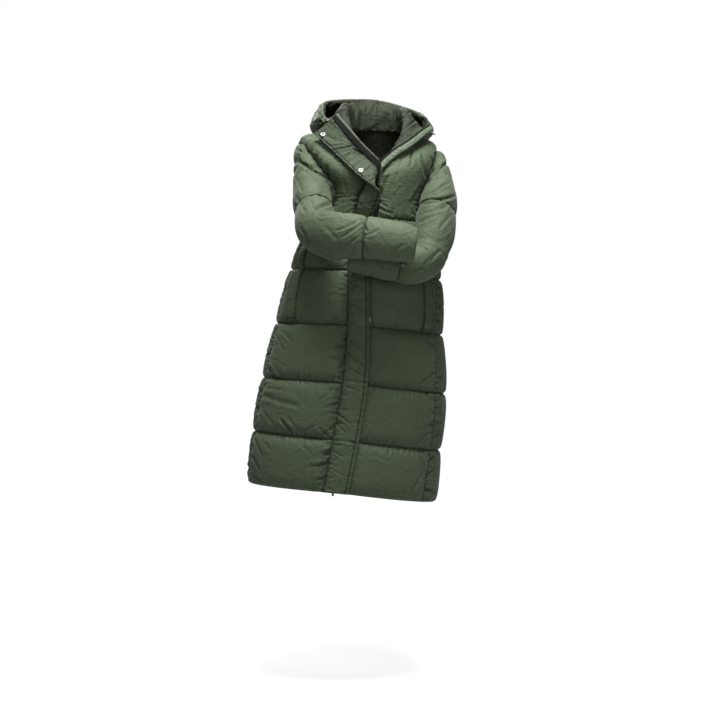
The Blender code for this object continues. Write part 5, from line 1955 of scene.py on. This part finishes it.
@dataclass
class StormFlap:
    """The padded flap over the zip: shut from the hem to the arms, open as a lapel above them."""

    finishes: Finishes
    how: Inflation = Inflation(growth=0.05, pressure=0.6, above=0.0015, below=0.0015, bending=0.01)
    thickness: float = 0.005
    rise: float = 0.009
    columns: int = 12
    snap_rise: float = 0.004
    snap_reach: float = 0.12
    wave: Pair = (0.035, 0.0006)
    fill: float = 0.25
    folds: int = 60
    at_edge: Gathers = Gathers(0.011, 0.013, 0.0026, 0.0011)
    crumples: Folds = Folds(0.03, 0.0024, 0.0008, (0.6, 0.0, 1.0), 0.9)
    face: Grid | None = None
    back: Grid | None = None

    def middle(self) -> Grid:
        """Finds the flap's middle surface.

        Returns:
            Its points, rows up its length and columns from seam to edge.
        """
        shares = np.linspace(0, 1, self.columns + 1)
        rows = body_rows()
        rows = rows[rows <= LAST_QUILT_ROW]
        angles = spread(front_line(rows, "flap_seam"), front_line(rows, "flap_edge"), shares)
        row_grid = np.broadcast_to(rows[:, None], angles.shape)
        channel = self.rise * np.clip(shares / 0.25, 0.07, 1)
        stand = np.interp(shares, (0.0, 0.5, 1.0), (0.0006, 0.002, 0.002))
        lift = np.maximum(front_height(row_grid, angles) + stand, channel[None, :])
        near_snap = np.exp(-((row_grid - WAIST_SNAP_ROW) / self.snap_reach) ** 2) * shares**2
        shut = body_offset(row_grid, angles, lift + self.snap_rise * near_snap + self.thickness / 2)
        last = RibbonStation(tuple(shut[-1, 0]), tuple(shut[-1, -1]))
        opened = ribbon((last, *OPEN_FLAP), INNER_STEP * 2, shares, 0.003)[0][1:]
        return np.concatenate([shut, opened])

    def build(self) -> Piece:
        """Builds the flap, both of its faces lightly puckered.

        Returns:
            The flap's object.
        """
        middle = self.middle()
        half = facing(middle) * self.thickness / 2
        faces, painted_shades = [], []
        sides = (("front", middle + half), ("back", (middle - half)[:, ::-1]))
        for seed, (name, face) in enumerate(sides, 61):
            pinned = edge_pins(face.shape)
            wavy = Relief(face, False, seed + 5)
            wavy.ripple(*self.wave)
            sheet = inflate("flap_%s_sheet" % name, np.where(pinned[..., None], face, wavy.pressed()), face,
                            pinned, False, self.how)
            relief = Relief(refine(refine(sheet)), False, seed)
            relief.side_gathers(self.at_edge)
            relief.folds(self.folds, self.crumples)
            relief.creases(FLAP_CREASES)
            faces.append(relief.pressed())
            stitched = self.stitched(relief.last)
            painted_shades.append(relief.painted_shades(columns=stitched if name == "front" else
                                          [relief.last - column for column in stitched]))
        self.face, self.back = faces[0], faces[1][:, ::-1]
        # The lapel's face takes the darker lapel nylon, painted shade from the hood and head above it.
        return padded("storm_flap", self.face, self.back, (self.finishes.shell, self.finishes.lapel),
                      np.stack([painted_shades[0], painted_shades[1][:, ::-1]]), self.fill, step=1)

    @staticmethod
    def stitched(last: int) -> tuple[int, int]:
        """The columns of the two long rows of stitches, counted from the seam."""
        return 2, last - 6


FLAP_CREASES = placed(
    (348, 320, 360, 328, 4.0, 1.6), (347, 329, 365, 337, 3.5, 1.1), (347, 340, 366, 352, 4.0, 2.0),
    (346, 353, 364, 366, 4.0, 2.2), (346, 367, 367, 378, 4.0, 2.0), (342, 380, 366, 383, 5.0, 2.0),
    (344, 386, 360, 392, 4.0, 1.4), (336, 413, 350, 424, 4.0, 1.6), (334, 421, 344, 432, 4.0, 1.8),
    (333, 440, 356, 443, 5.0, 1.6), (330, 450, 344, 458, 4.0, 1.2), (329, 468, 342, 476, 4.0, 1.0),
    (348, 302, 362, 309, 4.0, 1.2), (351, 284, 366, 290, 4.0, 1.2), (329, 146.5, 343, 144.5, 2.8, 1.8),
    (331, 150.5, 354, 145.5, 3.6, 3.2, 1.0), (338, 159, 350, 153.5, 3.0, 2.6),
    (345, 162, 356, 157, 3.5, 1.4), (353, 149, 362, 154.5, 3.0, 2.4), (352, 168, 360, 161, 3.5, 1.8),
    (364, 172, 372, 165, 3.5, 1.6), (366, 183, 376, 178, 2.8, 2.0), (318, 142.5, 323, 137.5, 3.5, 2.0),
    (325, 142, 331, 146, 2.6, 2.2), (335, 127, 330, 136, 3.5, 1.4), (322, 133, 336, 141, 6.0, 1.2),
    (370, 203, 380, 200, 3.5, 2.2), (368, 210, 378, 209, 3.5, 1.8))


@dataclass
class PocketWelts:
    """The two upright pocket welts."""

    finishes: Finishes
    thickness: float = 0.004
    clearance: float = 0.0006
    crown: float = 0.0016
    fill: float = 0.2
    at_edge: Gathers = Gathers(0.018, 0.012, 0.0040, 0.0008)
    faces: dict[Side, Grid] = field(default_factory=dict)

    def build(self, side: Side, seed: int, panels: BodyPanels) -> Piece:
        """Builds one welt on its front's finished face.

        Args:
            side: Which one.
            seed: Fixes its gathers.
            panels: The finished body.

        Returns:
            The welt's object.
        """
        low, high = WELTS[side]
        panel = Panel.FRONT_RIGHT if side is Side.RIGHT else Panel.FRONT_LEFT
        rows = np.linspace(low.row, high.row, INNER_STEP * 16 + 1)
        inner, outer = (np.interp(rows, (low.row, high.row), ends)
                        for ends in ((low.inner, high.inner), (low.outer, high.outer)))
        shares = np.linspace(0, 1, 17)
        angles = spread(inner, outer, shares)
        if side is Side.RIGHT:
            angles = angles[:, ::-1]
        skin = smoothed(panels.skin(panel, rows, angles), 6)
        outward = facing(skin)
        near = skin + outward * self.clearance
        crown = self.crown * pillow(shares)[None, :] * pillow(np.linspace(0, 1, len(rows)))[:, None] ** 0.4
        far = near + outward * (self.thickness - 2 * self.clearance + crown)[..., None]
        relief = Relief(far, False, seed)
        relief.side_gathers(self.at_edge)
        relief.creases(WELT_CREASES[side])
        self.faces[side] = relief.pressed()
        return padded("pocket_welt_" + side.name.lower(), self.faces[side], near, (self.finishes.shell,),
                      relief.painted_shades((2,), (1, relief.last - 1)), self.fill, step=1)


WELT_CREASES: dict[Side, tuple[Crease, ...]] = {
    Side.RIGHT: placed(
        (284, 304, 300, 295.5, 4.0, 1.4), (282, 315, 296, 309, 3.5, 0.9)),
    Side.LEFT: placed(
        (421, 300, 434, 306, 4.0, 1.2), (422, 318, 434, 314, 3.5, 0.9)),
}


@dataclass
class Trim:
    """The zip's tapes, the light binding and the lapel's facing."""

    finishes: Finishes
    tape_thickness: float = 0.0025
    ribbon_thickness: float = 0.003
    tape_degrees: float = 2.3
    tape_depth: float = 0.0005
    tape_foot: tuple[RibbonStation, ...] = (
        RibbonStation((0.0100, -0.1520, -0.134), (0.0165, -0.1525, -0.134)),
        RibbonStation((0.0160, -0.1565, -0.112), (0.0235, -0.1565, -0.108)))
    tape_shifts: tuple[Triple, Triple] = ((0.0035, 0.0030, 0.0035), (0.0115, 0.0045, 0.0120))
    inside_binding: Pair = (0.0054, 0.0010)
    behind_binding: float = 0.0015
    facing_shift: Triple = (0.0125, 0.0045, 0.0130)
    facing_sinks: float = 0.0030
    facing_widths: Pair = (0.0015, 0.0045)
    puckers: Gathers = Gathers(0.009, 0.010, 0.0030, 0.0016)
    zip_edges: dict[Side, Grid] = field(default_factory=dict)

    def strip(self, node: str, points: Grid, outward: Grid, thickness: float, material: Material,
              slot: str) -> Piece:
        """Builds a thin strip of cloth about its middle surface.

        Args:
            node: The solid that it stands for.
            points: The middle surface.
            outward: The way each point faces.
            thickness: The strip's thickness.
            material: Its finish.
            slot: The slot of that finish.

        Returns:
            The strip's object.
        """
        name = node + "_cloth"
        half = outward * thickness / 2
        relief = Relief(points + half, False, len(name))
        if relief.last > 4:
            relief.gathers(self.puckers)
        piece = cloth_wall(name, relief.pressed(), points - half, False, (material,), 1, relief.painted_shades())
        place(piece, slot, [node])
        return piece

    def build(self) -> None:
        """Builds the strips."""
        seams = ribbon(OPEN_FLAP, 2, (0.0, 1.0))[0][:, 0]
        shares = np.linspace(0, 1, 5)
        for side in Side:
            stations = self.right_path(seams) if side is Side.RIGHT else self.left_path()
            opened, outward = ribbon(stations, 3, shares)
            shut = self.beside_edge(side, shares)
            points = np.concatenate([shut, opened])
            self.zip_edges[side] = points[:, -1 if side is Side.RIGHT else 0]
            self.strip("zip_tape_" + side.name.lower(), points, np.concatenate([facing(shut), outward]),
                       self.tape_thickness, self.finishes.tape, "zip_tape")
        points, outward = ribbon(BINDING, 8, np.linspace(0, 1, 7), 0.0012)
        self.strip("binding_left", points, outward, self.ribbon_thickness, self.finishes.binding, "binding")
        points, outward = ribbon(self.facing_path(seams), 6, shares, 0.0008)
        self.strip("facing_right", points, outward, self.ribbon_thickness, self.finishes.facing, "binding")

    def beside_edge(self, side: Side, shares: Grid) -> Grid:
        """Lays one tape's middle surface beside its front's edge.

        Args:
            side: Which tape.
            shares: Places across it.

        Returns:
            The points.
        """
        rows = body_rows()
        rows = rows[rows <= LAST_QUILT_ROW + 1]
        gap = gap_angle(rows)
        right, left = front_line(rows, "right_edge"), front_line(rows, "left_edge")
        middle = 0.5 * (right + left)
        if side is Side.RIGHT:
            angles = spread(right + 2 * gap, np.minimum(middle - gap, right + self.tape_degrees), shares)
        else:
            angles = spread(np.maximum(middle + gap, left - self.tape_degrees), left - 2 * gap, shares)
        depth = np.full(angles.shape, -self.tape_depth - self.tape_thickness / 2)
        return body_offset(np.broadcast_to(rows[:, None], angles.shape), angles, depth)

    def right_path(self, seams: Grid) -> list[RibbonStation]:
        """Lays the right tape behind the flap's twist and then along the open lapel.

        Args:
            seams: Points of the lapel's seam.

        Returns:
            The tape's edges along its length.
        """
        seam_side, edge_side = (seams[6:] + np.array(shift) for shift in self.tape_shifts)
        return [*self.tape_foot, *(RibbonStation(*map(tuple, ends)) for ends in zip(seam_side, edge_side))]

    def left_path(self) -> list[RibbonStation]:
        """Lays the left tape up the left front's edge and then inside the light binding.

        Returns:
            The tape's edges along its length.
        """
        points = ribbon(BINDING, 2, (0.0, 1.0))[0][1:]
        away = unit(points[:, 0] - points[:, 1])
        shift = np.array([0, self.behind_binding, 0])
        return [RibbonStation(*(tuple(seam + way * inside + shift) for inside in self.inside_binding))
                for seam, way in zip(points[:, 0], away)]

    def facing_path(self, seams: Grid) -> list[RibbonStation]:
        """Lays the facing beside the right tape, wider towards the hood.

        Args:
            seams: Points of the lapel's seam.

        Returns:
            The facing's edges along its length.
        """
        starts = seams[7:] + np.array(self.facing_shift)
        widths = np.linspace(*self.facing_widths, len(starts))
        return [RibbonStation(tuple(start), tuple(start + np.array([width, self.facing_sinks, width])))
                for start, width in zip(starts, widths)]


def seam_path(face: Grid, row: int | None = None, column: int = 0, closed: bool = False) -> Grid:
    """Finds a seam's line just above the cloth.

    Args:
        face: The cloth's outer face.
        row: The seam's row, if it runs across.
        column: The seam's column, if it runs up.
        closed: Whether the columns close into a tube.

    Returns:
        The line's points.
    """
    raised = face + facing(face, closed) * 0.0003
    if row is None:
        return raised[:, column]
    line = raised[row]
    return np.concatenate([line, line[:1]]) if closed else line


@dataclass
class Seams:
    """Every visible row of stitches."""

    finishes: Finishes
    pitch: float = 0.0036
    stitch: Triple = (0.0009, 0.0009, 0.0029)
    heavy_pitch: float = 0.0044
    heavy_stitch: Triple = (0.0017, 0.0017, 0.0036)

    def build(self, panels: BodyPanels, sleeves: Sleeves, hood: Hood, flap: StormFlap,
              welts: PocketWelts) -> None:
        """Sews the quilt lines and the edges.

        Args:
            panels: The finished body.
            sleeves: The finished sleeves.
            hood: The finished hood.
            flap: The finished flap.
            welts: The finished welts.
        """
        fine = Row(Repeat.STITCH, self.pitch, self.stitch, self.finishes.thread)
        for panel, face in panels.faces.items():
            paths = [seam_path(face, line) for line in (*panels.lines[panel][1:-1], 3)]
            self.sew(fine, "quilt_stitches_" + panel.value, paths)
        for side, face in sleeves.faces.items():
            rings = sleeves.rings[side]
            paths = [seam_path(face, ring, closed=True) for ring in (rings[2], rings[4], face.shape[0] - 4)]
            self.sew(fine, "sleeve_stitches_" + side.name.lower(), paths)
        heavy = Row(Repeat.STITCH, self.heavy_pitch, self.heavy_stitch, self.finishes.thread)
        top, last = flap.face.shape[0] - 8, flap.face.shape[1] - 1
        for name, face in (("front", flap.face), ("back", flap.back[:, ::-1])):
            columns = [column if name == "front" else last - column for column in flap.stitched(last)]
            edges = [seam_path(face, column=column)[4:top] for column in columns]
            self.sew(heavy, "flap_stitches_" + name, [*edges, seam_path(face, top)[4:-4]])
        for side, face in welts.faces.items():
            paths = [seam_path(face, column=column) for column in (1, face.shape[1] - 2)]
            self.sew(heavy, "welt_stitches_" + side.name.lower(), [*paths, seam_path(face, 2)])
        for name, face in hood.faces.items():
            self.sew(fine, name + "_stitches", [seam_path(face, face.shape[0] - 7)])

    @staticmethod
    def sew(row: Row, name: str, paths: Sequence[Grid]) -> None:
        """Sews one piece's rows of stitches."""
        place(row.along(name, paths), "shell")


@dataclass
class ZipTeeth:
    """The two rows of moulded teeth."""

    finishes: Finishes
    pitch: float = 0.0030
    tooth: Triple = (0.0030, 0.0030, 0.0019)

    def build(self, trim: Trim) -> None:
        """Sets a row along each tape's free edge, half a pitch apart.

        Args:
            trim: The finished tapes.
        """
        row = Row(Repeat.TOOTH, self.pitch, self.tooth, self.finishes.teeth)
        for side, edge in trim.zip_edges.items():
            start = edge
            if side is Side.LEFT:
                start = np.concatenate([edge[:1] + unit(edge[1] - edge[0]) * self.pitch / 2, edge[1:]])
            place(row.along("zip_teeth_" + side.name.lower(), [start]), "zip_tape")


# ---------------------------------------------------------------- hardware


def seat(surface: Grid, node: str) -> tuple[Grid, Grid]:
    """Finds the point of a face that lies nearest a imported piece.

    Args:
        surface: The face's points.
        node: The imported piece.

    Returns:
        The point, and the way that the face looks there.
    """
    low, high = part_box(node)
    distance = np.linalg.norm(surface - np.array((low + high) / 2), axis=-1)
    nearest = np.unravel_index(int(distance.argmin()), distance.shape)
    return surface[nearest], facing(smoothed(surface, 3))[nearest]


def plain_mesh(name: str, points: Grid, faces: Sequence[Sequence[int]], material: Material,
               bevel: float = 0.0) -> Piece:
    """Builds a hard piece.

    Args:
        name: Its name.
        points: Its points.
        faces: Their numbers round each face.
        material: Its finish.
        bevel: How far its edges are softened.

    Returns:
        The new piece.
    """
    mesh = bpy.data.meshes.new(name)
    mesh.from_pydata(np.asarray(points).tolist(), [], faces)
    mesh.materials.append(material)
    smooth_shell(mesh, 50, bevel)
    return add_object(name, mesh)


def turned(name: str, profile: Sequence[Pair], base: Grid, axis: Grid, material: Material,
           sides: int = 48) -> Piece:
    """Builds a round piece turned about an axis.

    Args:
        name: Its name.
        profile: Radius and height pairs, from the axis out and back to it.
        base: Where height 0 is on the axis.
        axis: The axis, as a unit vector.
        material: Its finish.
        sides: Points round it.

    Returns:
        The new piece.
    """
    first = unit(np.cross(axis, (0.0, 0.0, 1.0) if abs(axis[2]) < 0.9 else (1.0, 0.0, 0.0)))
    turns = np.arange(sides) * 2 * math.pi / sides
    spokes = np.outer(np.cos(turns), first) + np.outer(np.sin(turns), np.cross(axis, first))
    rings = [base + axis * height + spokes * radius for radius, height in profile[1:-1]]
    ends = [base + axis * profile[0][1], base + axis * profile[-1][1]]
    faces: list[tuple[int, ...]] = list(grid_faces(len(rings), sides, True))
    top, bottom = len(rings) * sides, len(rings) * sides + 1
    for column in range(sides):
        after = (column + 1) % sides
        faces += [(top, after, column), (bottom, top - sides + column, top - sides + after)]
    return plain_mesh(name, np.concatenate([*rings, ends]), faces, material)


def rounded_loop(width: float, low: float, high: float, corner: float, count: int = 6) -> Grid:
    """Finds points round an upright rectangle with round corners, in its own plane.

    Args:
        width: Its width.
        low: Its lower end.
        high: Its upper end.
        corner: Radius of its corners.
        count: Points round each corner.

    Returns:
        The points, as pairs across and up.
    """
    half = width / 2 - corner
    loop = []
    for x, z, start in ((half, high - corner, 0), (-half, high - corner, 90), (-half, low + corner, 180),
                        (half, low + corner, 270)):
        for step in range(count):
            turn = math.radians(start + 90 * step / (count - 1))
            loop.append((x + corner * math.cos(turn), z + corner * math.sin(turn)))
    return np.array(loop)


def plate(name: str, middle: Grid, outline: Grid, depth: float, material: Material,
          window: Grid | None = None, bevel: float = 0.0003) -> Piece:
    """Builds a flat upright plate that faces the front, with a window if wanted.

    Args:
        name: Its name.
        middle: Where its own zero is.
        outline: Points round it.
        depth: Its thickness.
        material: Its finish.
        window: As many points round its hole.
        bevel: How far its edges are softened.

    Returns:
        The new piece.
    """
    loops = [outline] if window is None else [outline, window]
    count = len(outline)
    points = [np.column_stack([loop[:, 0], np.full(count, y), loop[:, 1]]) + middle
              for y in (-depth / 2, depth / 2) for loop in loops]
    faces = []
    layer = count * len(loops)
    for index in range(count):
        after = (index + 1) % count
        faces.append((index, after, layer + after, layer + index))
        if window is not None:
            faces.append((count + after, count + index, layer + count + index, layer + count + after))
            for start in (0, layer):
                faces.append((start + index, start + after, start + count + after, start + count + index))
    if window is None:
        faces += [tuple(range(count)), tuple(range(layer, layer + count))]
    return plain_mesh(name, np.concatenate(points), faces, material, bevel)


def rod(name: str, path: Grid, radius: float, material: Material, sides: int = 12) -> Piece:
    """Builds a round wire along a path that lies in an upright plane across X.

    Args:
        name: Its name.
        path: Points of its middle line.
        radius: Its radius.
        material: Its finish.
        sides: Points round it.

    Returns:
        The new piece.
    """
    along = unit(np.gradient(path, axis=0))
    level = np.broadcast_to(np.array([1.0, 0.0, 0.0]), path.shape)
    upright = np.cross(along, level)
    turns = np.arange(sides) * 2 * math.pi / sides
    rings = (path[:, None] + radius * (np.cos(turns)[None, :, None] * level[:, None]
                                       + np.sin(turns)[None, :, None] * upright[:, None]))
    faces: list[tuple[int, ...]] = list(grid_faces(len(path), sides, True))
    last = (len(path) - 1) * sides
    faces += [tuple(range(sides)), tuple(range(last, last + sides))]
    return plain_mesh(name, rings.reshape(-1, 3), faces, material)


@dataclass
class Hardware:
    """Snaps, sliders with their pulls, and the hood cord's ends."""

    finishes: Finishes
    snap: tuple[Pair, ...] = (
        (0, 0.0012), (0.0010, 0.0011), (0.0015, 0.0004), (0.0026, 0.0003), (0.0031, 0.0019), (0.0039, 0.0025),
        (0.0052, 0.0027), (0.0064, 0.0023), (0.0072, 0.0014), (0.0075, 0.0005), (0.0075, 0), (0, 0))
    eyelet: tuple[Pair, ...] = (
        (0, 0.0004), (0.0027, 0.0004), (0.0030, 0.0012), (0.0036, 0.0018), (0.0043, 0.0017), (0.0049, 0.0010),
        (0.0051, 0), (0, 0))
    stopper: tuple[Pair, ...] = (
        (0, 0.0130), (0.0012, 0.0130), (0.0019, 0.0124), (0.0022, 0.0112), (0.0023, 0.0100), (0.0021, 0.0096),
        (0.0021, 0.0092), (0.0026, 0.0088), (0.0027, 0.0060), (0.0027, 0.0020), (0.0024, 0.0010),
        (0.0012, 0.0008))
    cord: float = 0.0012
    cord_hidden: float = 0.002
    cord_ways: dict[Side, Triple] = field(default_factory=lambda: {Side.RIGHT: (-0.57, -0.76, 0.31),
                                                                   Side.LEFT: (0.80, -0.28, -0.53)})
    cord_shows: dict[Side, float] = field(default_factory=lambda: {Side.RIGHT: 0.0005, Side.LEFT: 0.0100})
    waist_tuck: float = 0.0055
    snap_stand: float = 0.0008
    slider_outline: tuple[Pair, ...] = (
        (-1, 1), (-1, 0.1), (-0.72, -0.5), (-0.72, -1), (0.72, -1), (0.72, -0.5), (1, 0.1), (1, 1))
    slider_depth: float = 0.0022
    slider_bevel: float = 0.0005
    bail_wire: float = 0.0006
    bail_half_height: float = 0.0048
    bail_points: int = 17
    pull_depth: float = 0.0011
    pull_corner: float = 0.0014
    pull_bevel: float = 0.0002
    window_margin: float = 0.0014
    window_low: float = -0.0068
    window_high: float = -0.0012
    window_corner: float = 0.0009

    def build(self, flap: StormFlap, panels: BodyPanels, hood: Hood) -> None:
        """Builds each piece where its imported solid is.

        Args:
            flap: The finished flap.
            panels: The finished body.
            hood: The finished hood.
        """
        lapel = flap.back[:, ::-1]
        for name, face, tucked in (("snap_top", lapel, 0.0), ("snap_chest", lapel, 0.0),
                                   ("snap_waist", panels.faces[Panel.FRONT_LEFT], self.waist_tuck)):
            base, axis = seat(smoothed(face, 12), name)
            base = base - np.array([tucked, 0, 0]) + axis * self.snap_stand
            place(turned(name + "_round", self.snap, base, axis, self.finishes.metal), "metal", [name])
        for side in Side:
            self.cord_end(side, hood)
        for name, pull_body in (("upper", PULL), ("lower", COAT)):
            self.slider(name)
            self.pull(name, pull_body)

    def cord_end(self, side: Side, hood: Hood) -> None:
        """Builds an eyelet and the stopper on the cord that comes out of it.

        Args:
            side: Which one.
            hood: The finished hood.
        """
        name = side.name.lower()
        base, axis = seat(hood.faces["hood_" + name], "eyelet_" + name)
        ring = turned("eyelet_%s_round" % name, self.eyelet, base, axis, self.finishes.metal)
        place(ring, "metal", ["eyelet_" + name])
        way = unit(np.array(self.cord_ways[side]))
        shows = self.cord_shows[side]
        end = -shows - self.cord_hidden
        profile = (*self.stopper, (self.cord, end), (0.0, end))
        stopper = turned("stopper_%s_round" % name, profile, base + way * shows, way, self.finishes.plastic)
        place(stopper, "plastic", ["stopper_" + name])

    def slider(self, name: str) -> None:
        """Builds a slider: a waisted plate about the teeth and a bail for the pull.

        Args:
            name: Which one.
        """
        low, high = (np.array(corner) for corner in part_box("slider_" + name))
        middle, half = (low + high) / 2, (high - low) / 2
        back = high[1] - self.slider_depth / 2
        outline = np.array(self.slider_outline) * half[[0, 2]]
        body = plate("slider_%s_body" % name, np.array([middle[0], back, middle[2]]), outline,
                     self.slider_depth, self.finishes.metal, bevel=self.slider_bevel)
        place(body, "metal", ["slider_" + name])
        turns = np.linspace(0, math.pi, self.bail_points)
        reach = back - low[1] - self.bail_wire
        path = np.column_stack([np.full(self.bail_points, middle[0]),
                                back - self.bail_wire - reach * np.sin(turns) ** 0.6,
                                middle[2] + self.bail_half_height * np.cos(turns)])
        place(rod("slider_%s_bail" % name, path, self.bail_wire, self.finishes.metal), "metal")

    def pull(self, name: str, body: str) -> None:
        """Builds a pull tab, hung through the bail by its window.

        Args:
            name: Which one.
            body: The body that it moves with.
        """
        low, high = (np.array(corner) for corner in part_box("pull_" + name))
        middle = np.array([(low[0] + high[0]) / 2, (low[1] + high[1]) / 2, high[2]])
        width, length = high[0] - low[0], high[2] - low[2]
        outline = rounded_loop(width, -length, 0.0, self.pull_corner)
        window = rounded_loop(width - 2 * self.window_margin, self.window_low, self.window_high,
                              self.window_corner)
        tab = plate("pull_%s_tab" % name, middle, outline, self.pull_depth, self.finishes.metal, window,
                    self.pull_bevel)
        place(tab, "metal", ["pull_" + name], body)


# ---------------------------------------------------------------- studio


class Lamp(NamedTuple):
    """A soft panel of light.

    Attributes:
        name: Its name.
        where: Its place.
        size: Its width and height.
        watts: Its power.
        aim: The height on the coat that it is turned to.
    """

    name: str
    where: Triple
    size: Pair
    watts: float
    aim: float


@dataclass
class Studio:
    """The camera, the floor and the soft light."""

    frame_width: float = 1.98
    floor_height: float = -1.49
    floor_reach: float = 12.0
    glow_from: Pair = (1.6, 3.2)
    glow: Pair = (0.6, 1.0)
    sky_light: float = 0.055
    aim_across: float = -0.03
    lamps: tuple[Lamp, ...] = (
        Lamp("key", (0.05, -0.85, 1.40), (0.9, 0.7), 88.0, 0.0),
        Lamp("front_left", (-1.3, -1.2, 1.0), (0.9, 0.9), 7.0, 0.0),
        Lamp("front_right", (0.5, -1.3, -0.25), (0.8, 0.6), 4.8, -0.4),
        Lamp("top", (0.1, 0.7, 1.9), (1.6, 0.8), 14.0, -0.1),
        Lamp("behind", (-0.6, 2.6, 1.2), (2.5, 1.5), 60.0, -0.4))

    def build(self) -> None:
        """Sets the camera, the floor and the lights."""
        camera = bpy.data.cameras.new("camera")
        camera.angle = 2 * math.atan(self.frame_width / 2 / -EYE[1])
        viewer = add_object("camera", camera)
        viewer.location = EYE
        viewer.rotation_euler = (math.radians(90), 0, 0)
        bpy.context.scene.camera = viewer
        self.floor()
        self.sky()
        for lamp in self.lamps:
            self.hang(lamp)
        bpy.context.scene.view_settings.view_transform = "Standard"

    def floor(self) -> None:
        """Lays a plain pale floor that fades to white for the camera."""
        mesh = bpy.data.meshes.new("floor")
        corners = [(across * self.floor_reach, along * self.floor_reach, self.floor_height)
                   for across, along in ((-1, -1), (1, -1), (1, 1), (-1, 1))]
        mesh.from_pydata(corners, [], [(0, 1, 2, 3)])
        nodes = Nodes("pale_floor")
        spot = nodes.add("ShaderNodeTexCoord").outputs["Object"]
        distance = nodes.add("ShaderNodeVectorMath", {0: spot}, operation="LENGTH").outputs["Value"]
        glow = nodes.band(distance, self.glow_from, self.glow)
        camera_ray = nodes.add("ShaderNodeLightPath").outputs["Is Camera Ray"]
        seen = nodes.add("ShaderNodeMath", {0: glow, 1: camera_ray}, operation="MULTIPLY")
        nodes.feed(nodes.shader, {
            "Base Color": (0.6, 0.6, 0.6, 1), "Roughness": 0.9, "Emission Color": (1, 1, 1, 1),
            "Emission Strength": seen.outputs["Value"]})
        mesh.materials.append(nodes.material)
        add_object("floor", mesh)

    def sky(self) -> None:
        """Puts white behind the coat, dimmer as a light on it."""
        world = bpy.data.worlds.new("studio")
        bpy.context.scene.world = world
        world.use_nodes = True
        tree = Tree(world.node_tree)
        seen = tree.add("ShaderNodeLightPath").outputs["Is Camera Ray"]
        level = tree.add("ShaderNodeMapRange", {"To Min": self.sky_light, "To Max": 1.0, "Value": seen})
        tree.feed(tree.tree.nodes["Background"], {"Color": (1, 1, 1, 1), "Strength": level.outputs["Result"]})

    def hang(self, lamp: Lamp) -> None:
        """Hangs a lamp and turns it to the coat.

        Args:
            lamp: Its place, size and power.
        """
        light = bpy.data.lights.new(lamp.name, "AREA")
        light.shape = "RECTANGLE"
        light.size, light.size_y = lamp.size
        light.energy = lamp.watts
        panel = add_object(lamp.name, light)
        panel.location = lamp.where
        aim = Vector((self.aim_across, 0.0, lamp.aim)) - Vector(lamp.where)
        panel.rotation_euler = aim.to_track_quat("-Z", "Y").to_euler()


def write_sizes() -> None:
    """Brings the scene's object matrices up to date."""
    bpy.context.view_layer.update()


def main() -> None:
    """Builds the coat's pieces in order and dresses them."""
    logging.basicConfig(level=logging.INFO, format="%(message)s", stream=sys.stdout)
    Studio().build()
    finishes = Finishes()
    panels = BodyPanels(finishes)
    for seed, panel in enumerate(Panel, 11):
        panels.build(panel, seed)
    sleeves = Sleeves(finishes)
    for seed, side in enumerate(Side, 21):
        sleeves.build(side, seed)
    hood = Hood(finishes)
    hood.build()
    flap = StormFlap(finishes)
    flap.build()
    welts = PocketWelts(finishes)
    for seed, side in enumerate(Side, 71):
        welts.build(side, seed, panels)
    trim = Trim(finishes)
    trim.build()
    Seams(finishes).build(panels, sleeves, hood, flap, welts)
    ZipTeeth(finishes).build(trim)
    Hardware(finishes).build(flap, panels, hood)
    write_sizes()


if __name__ == "__main__":
    main()
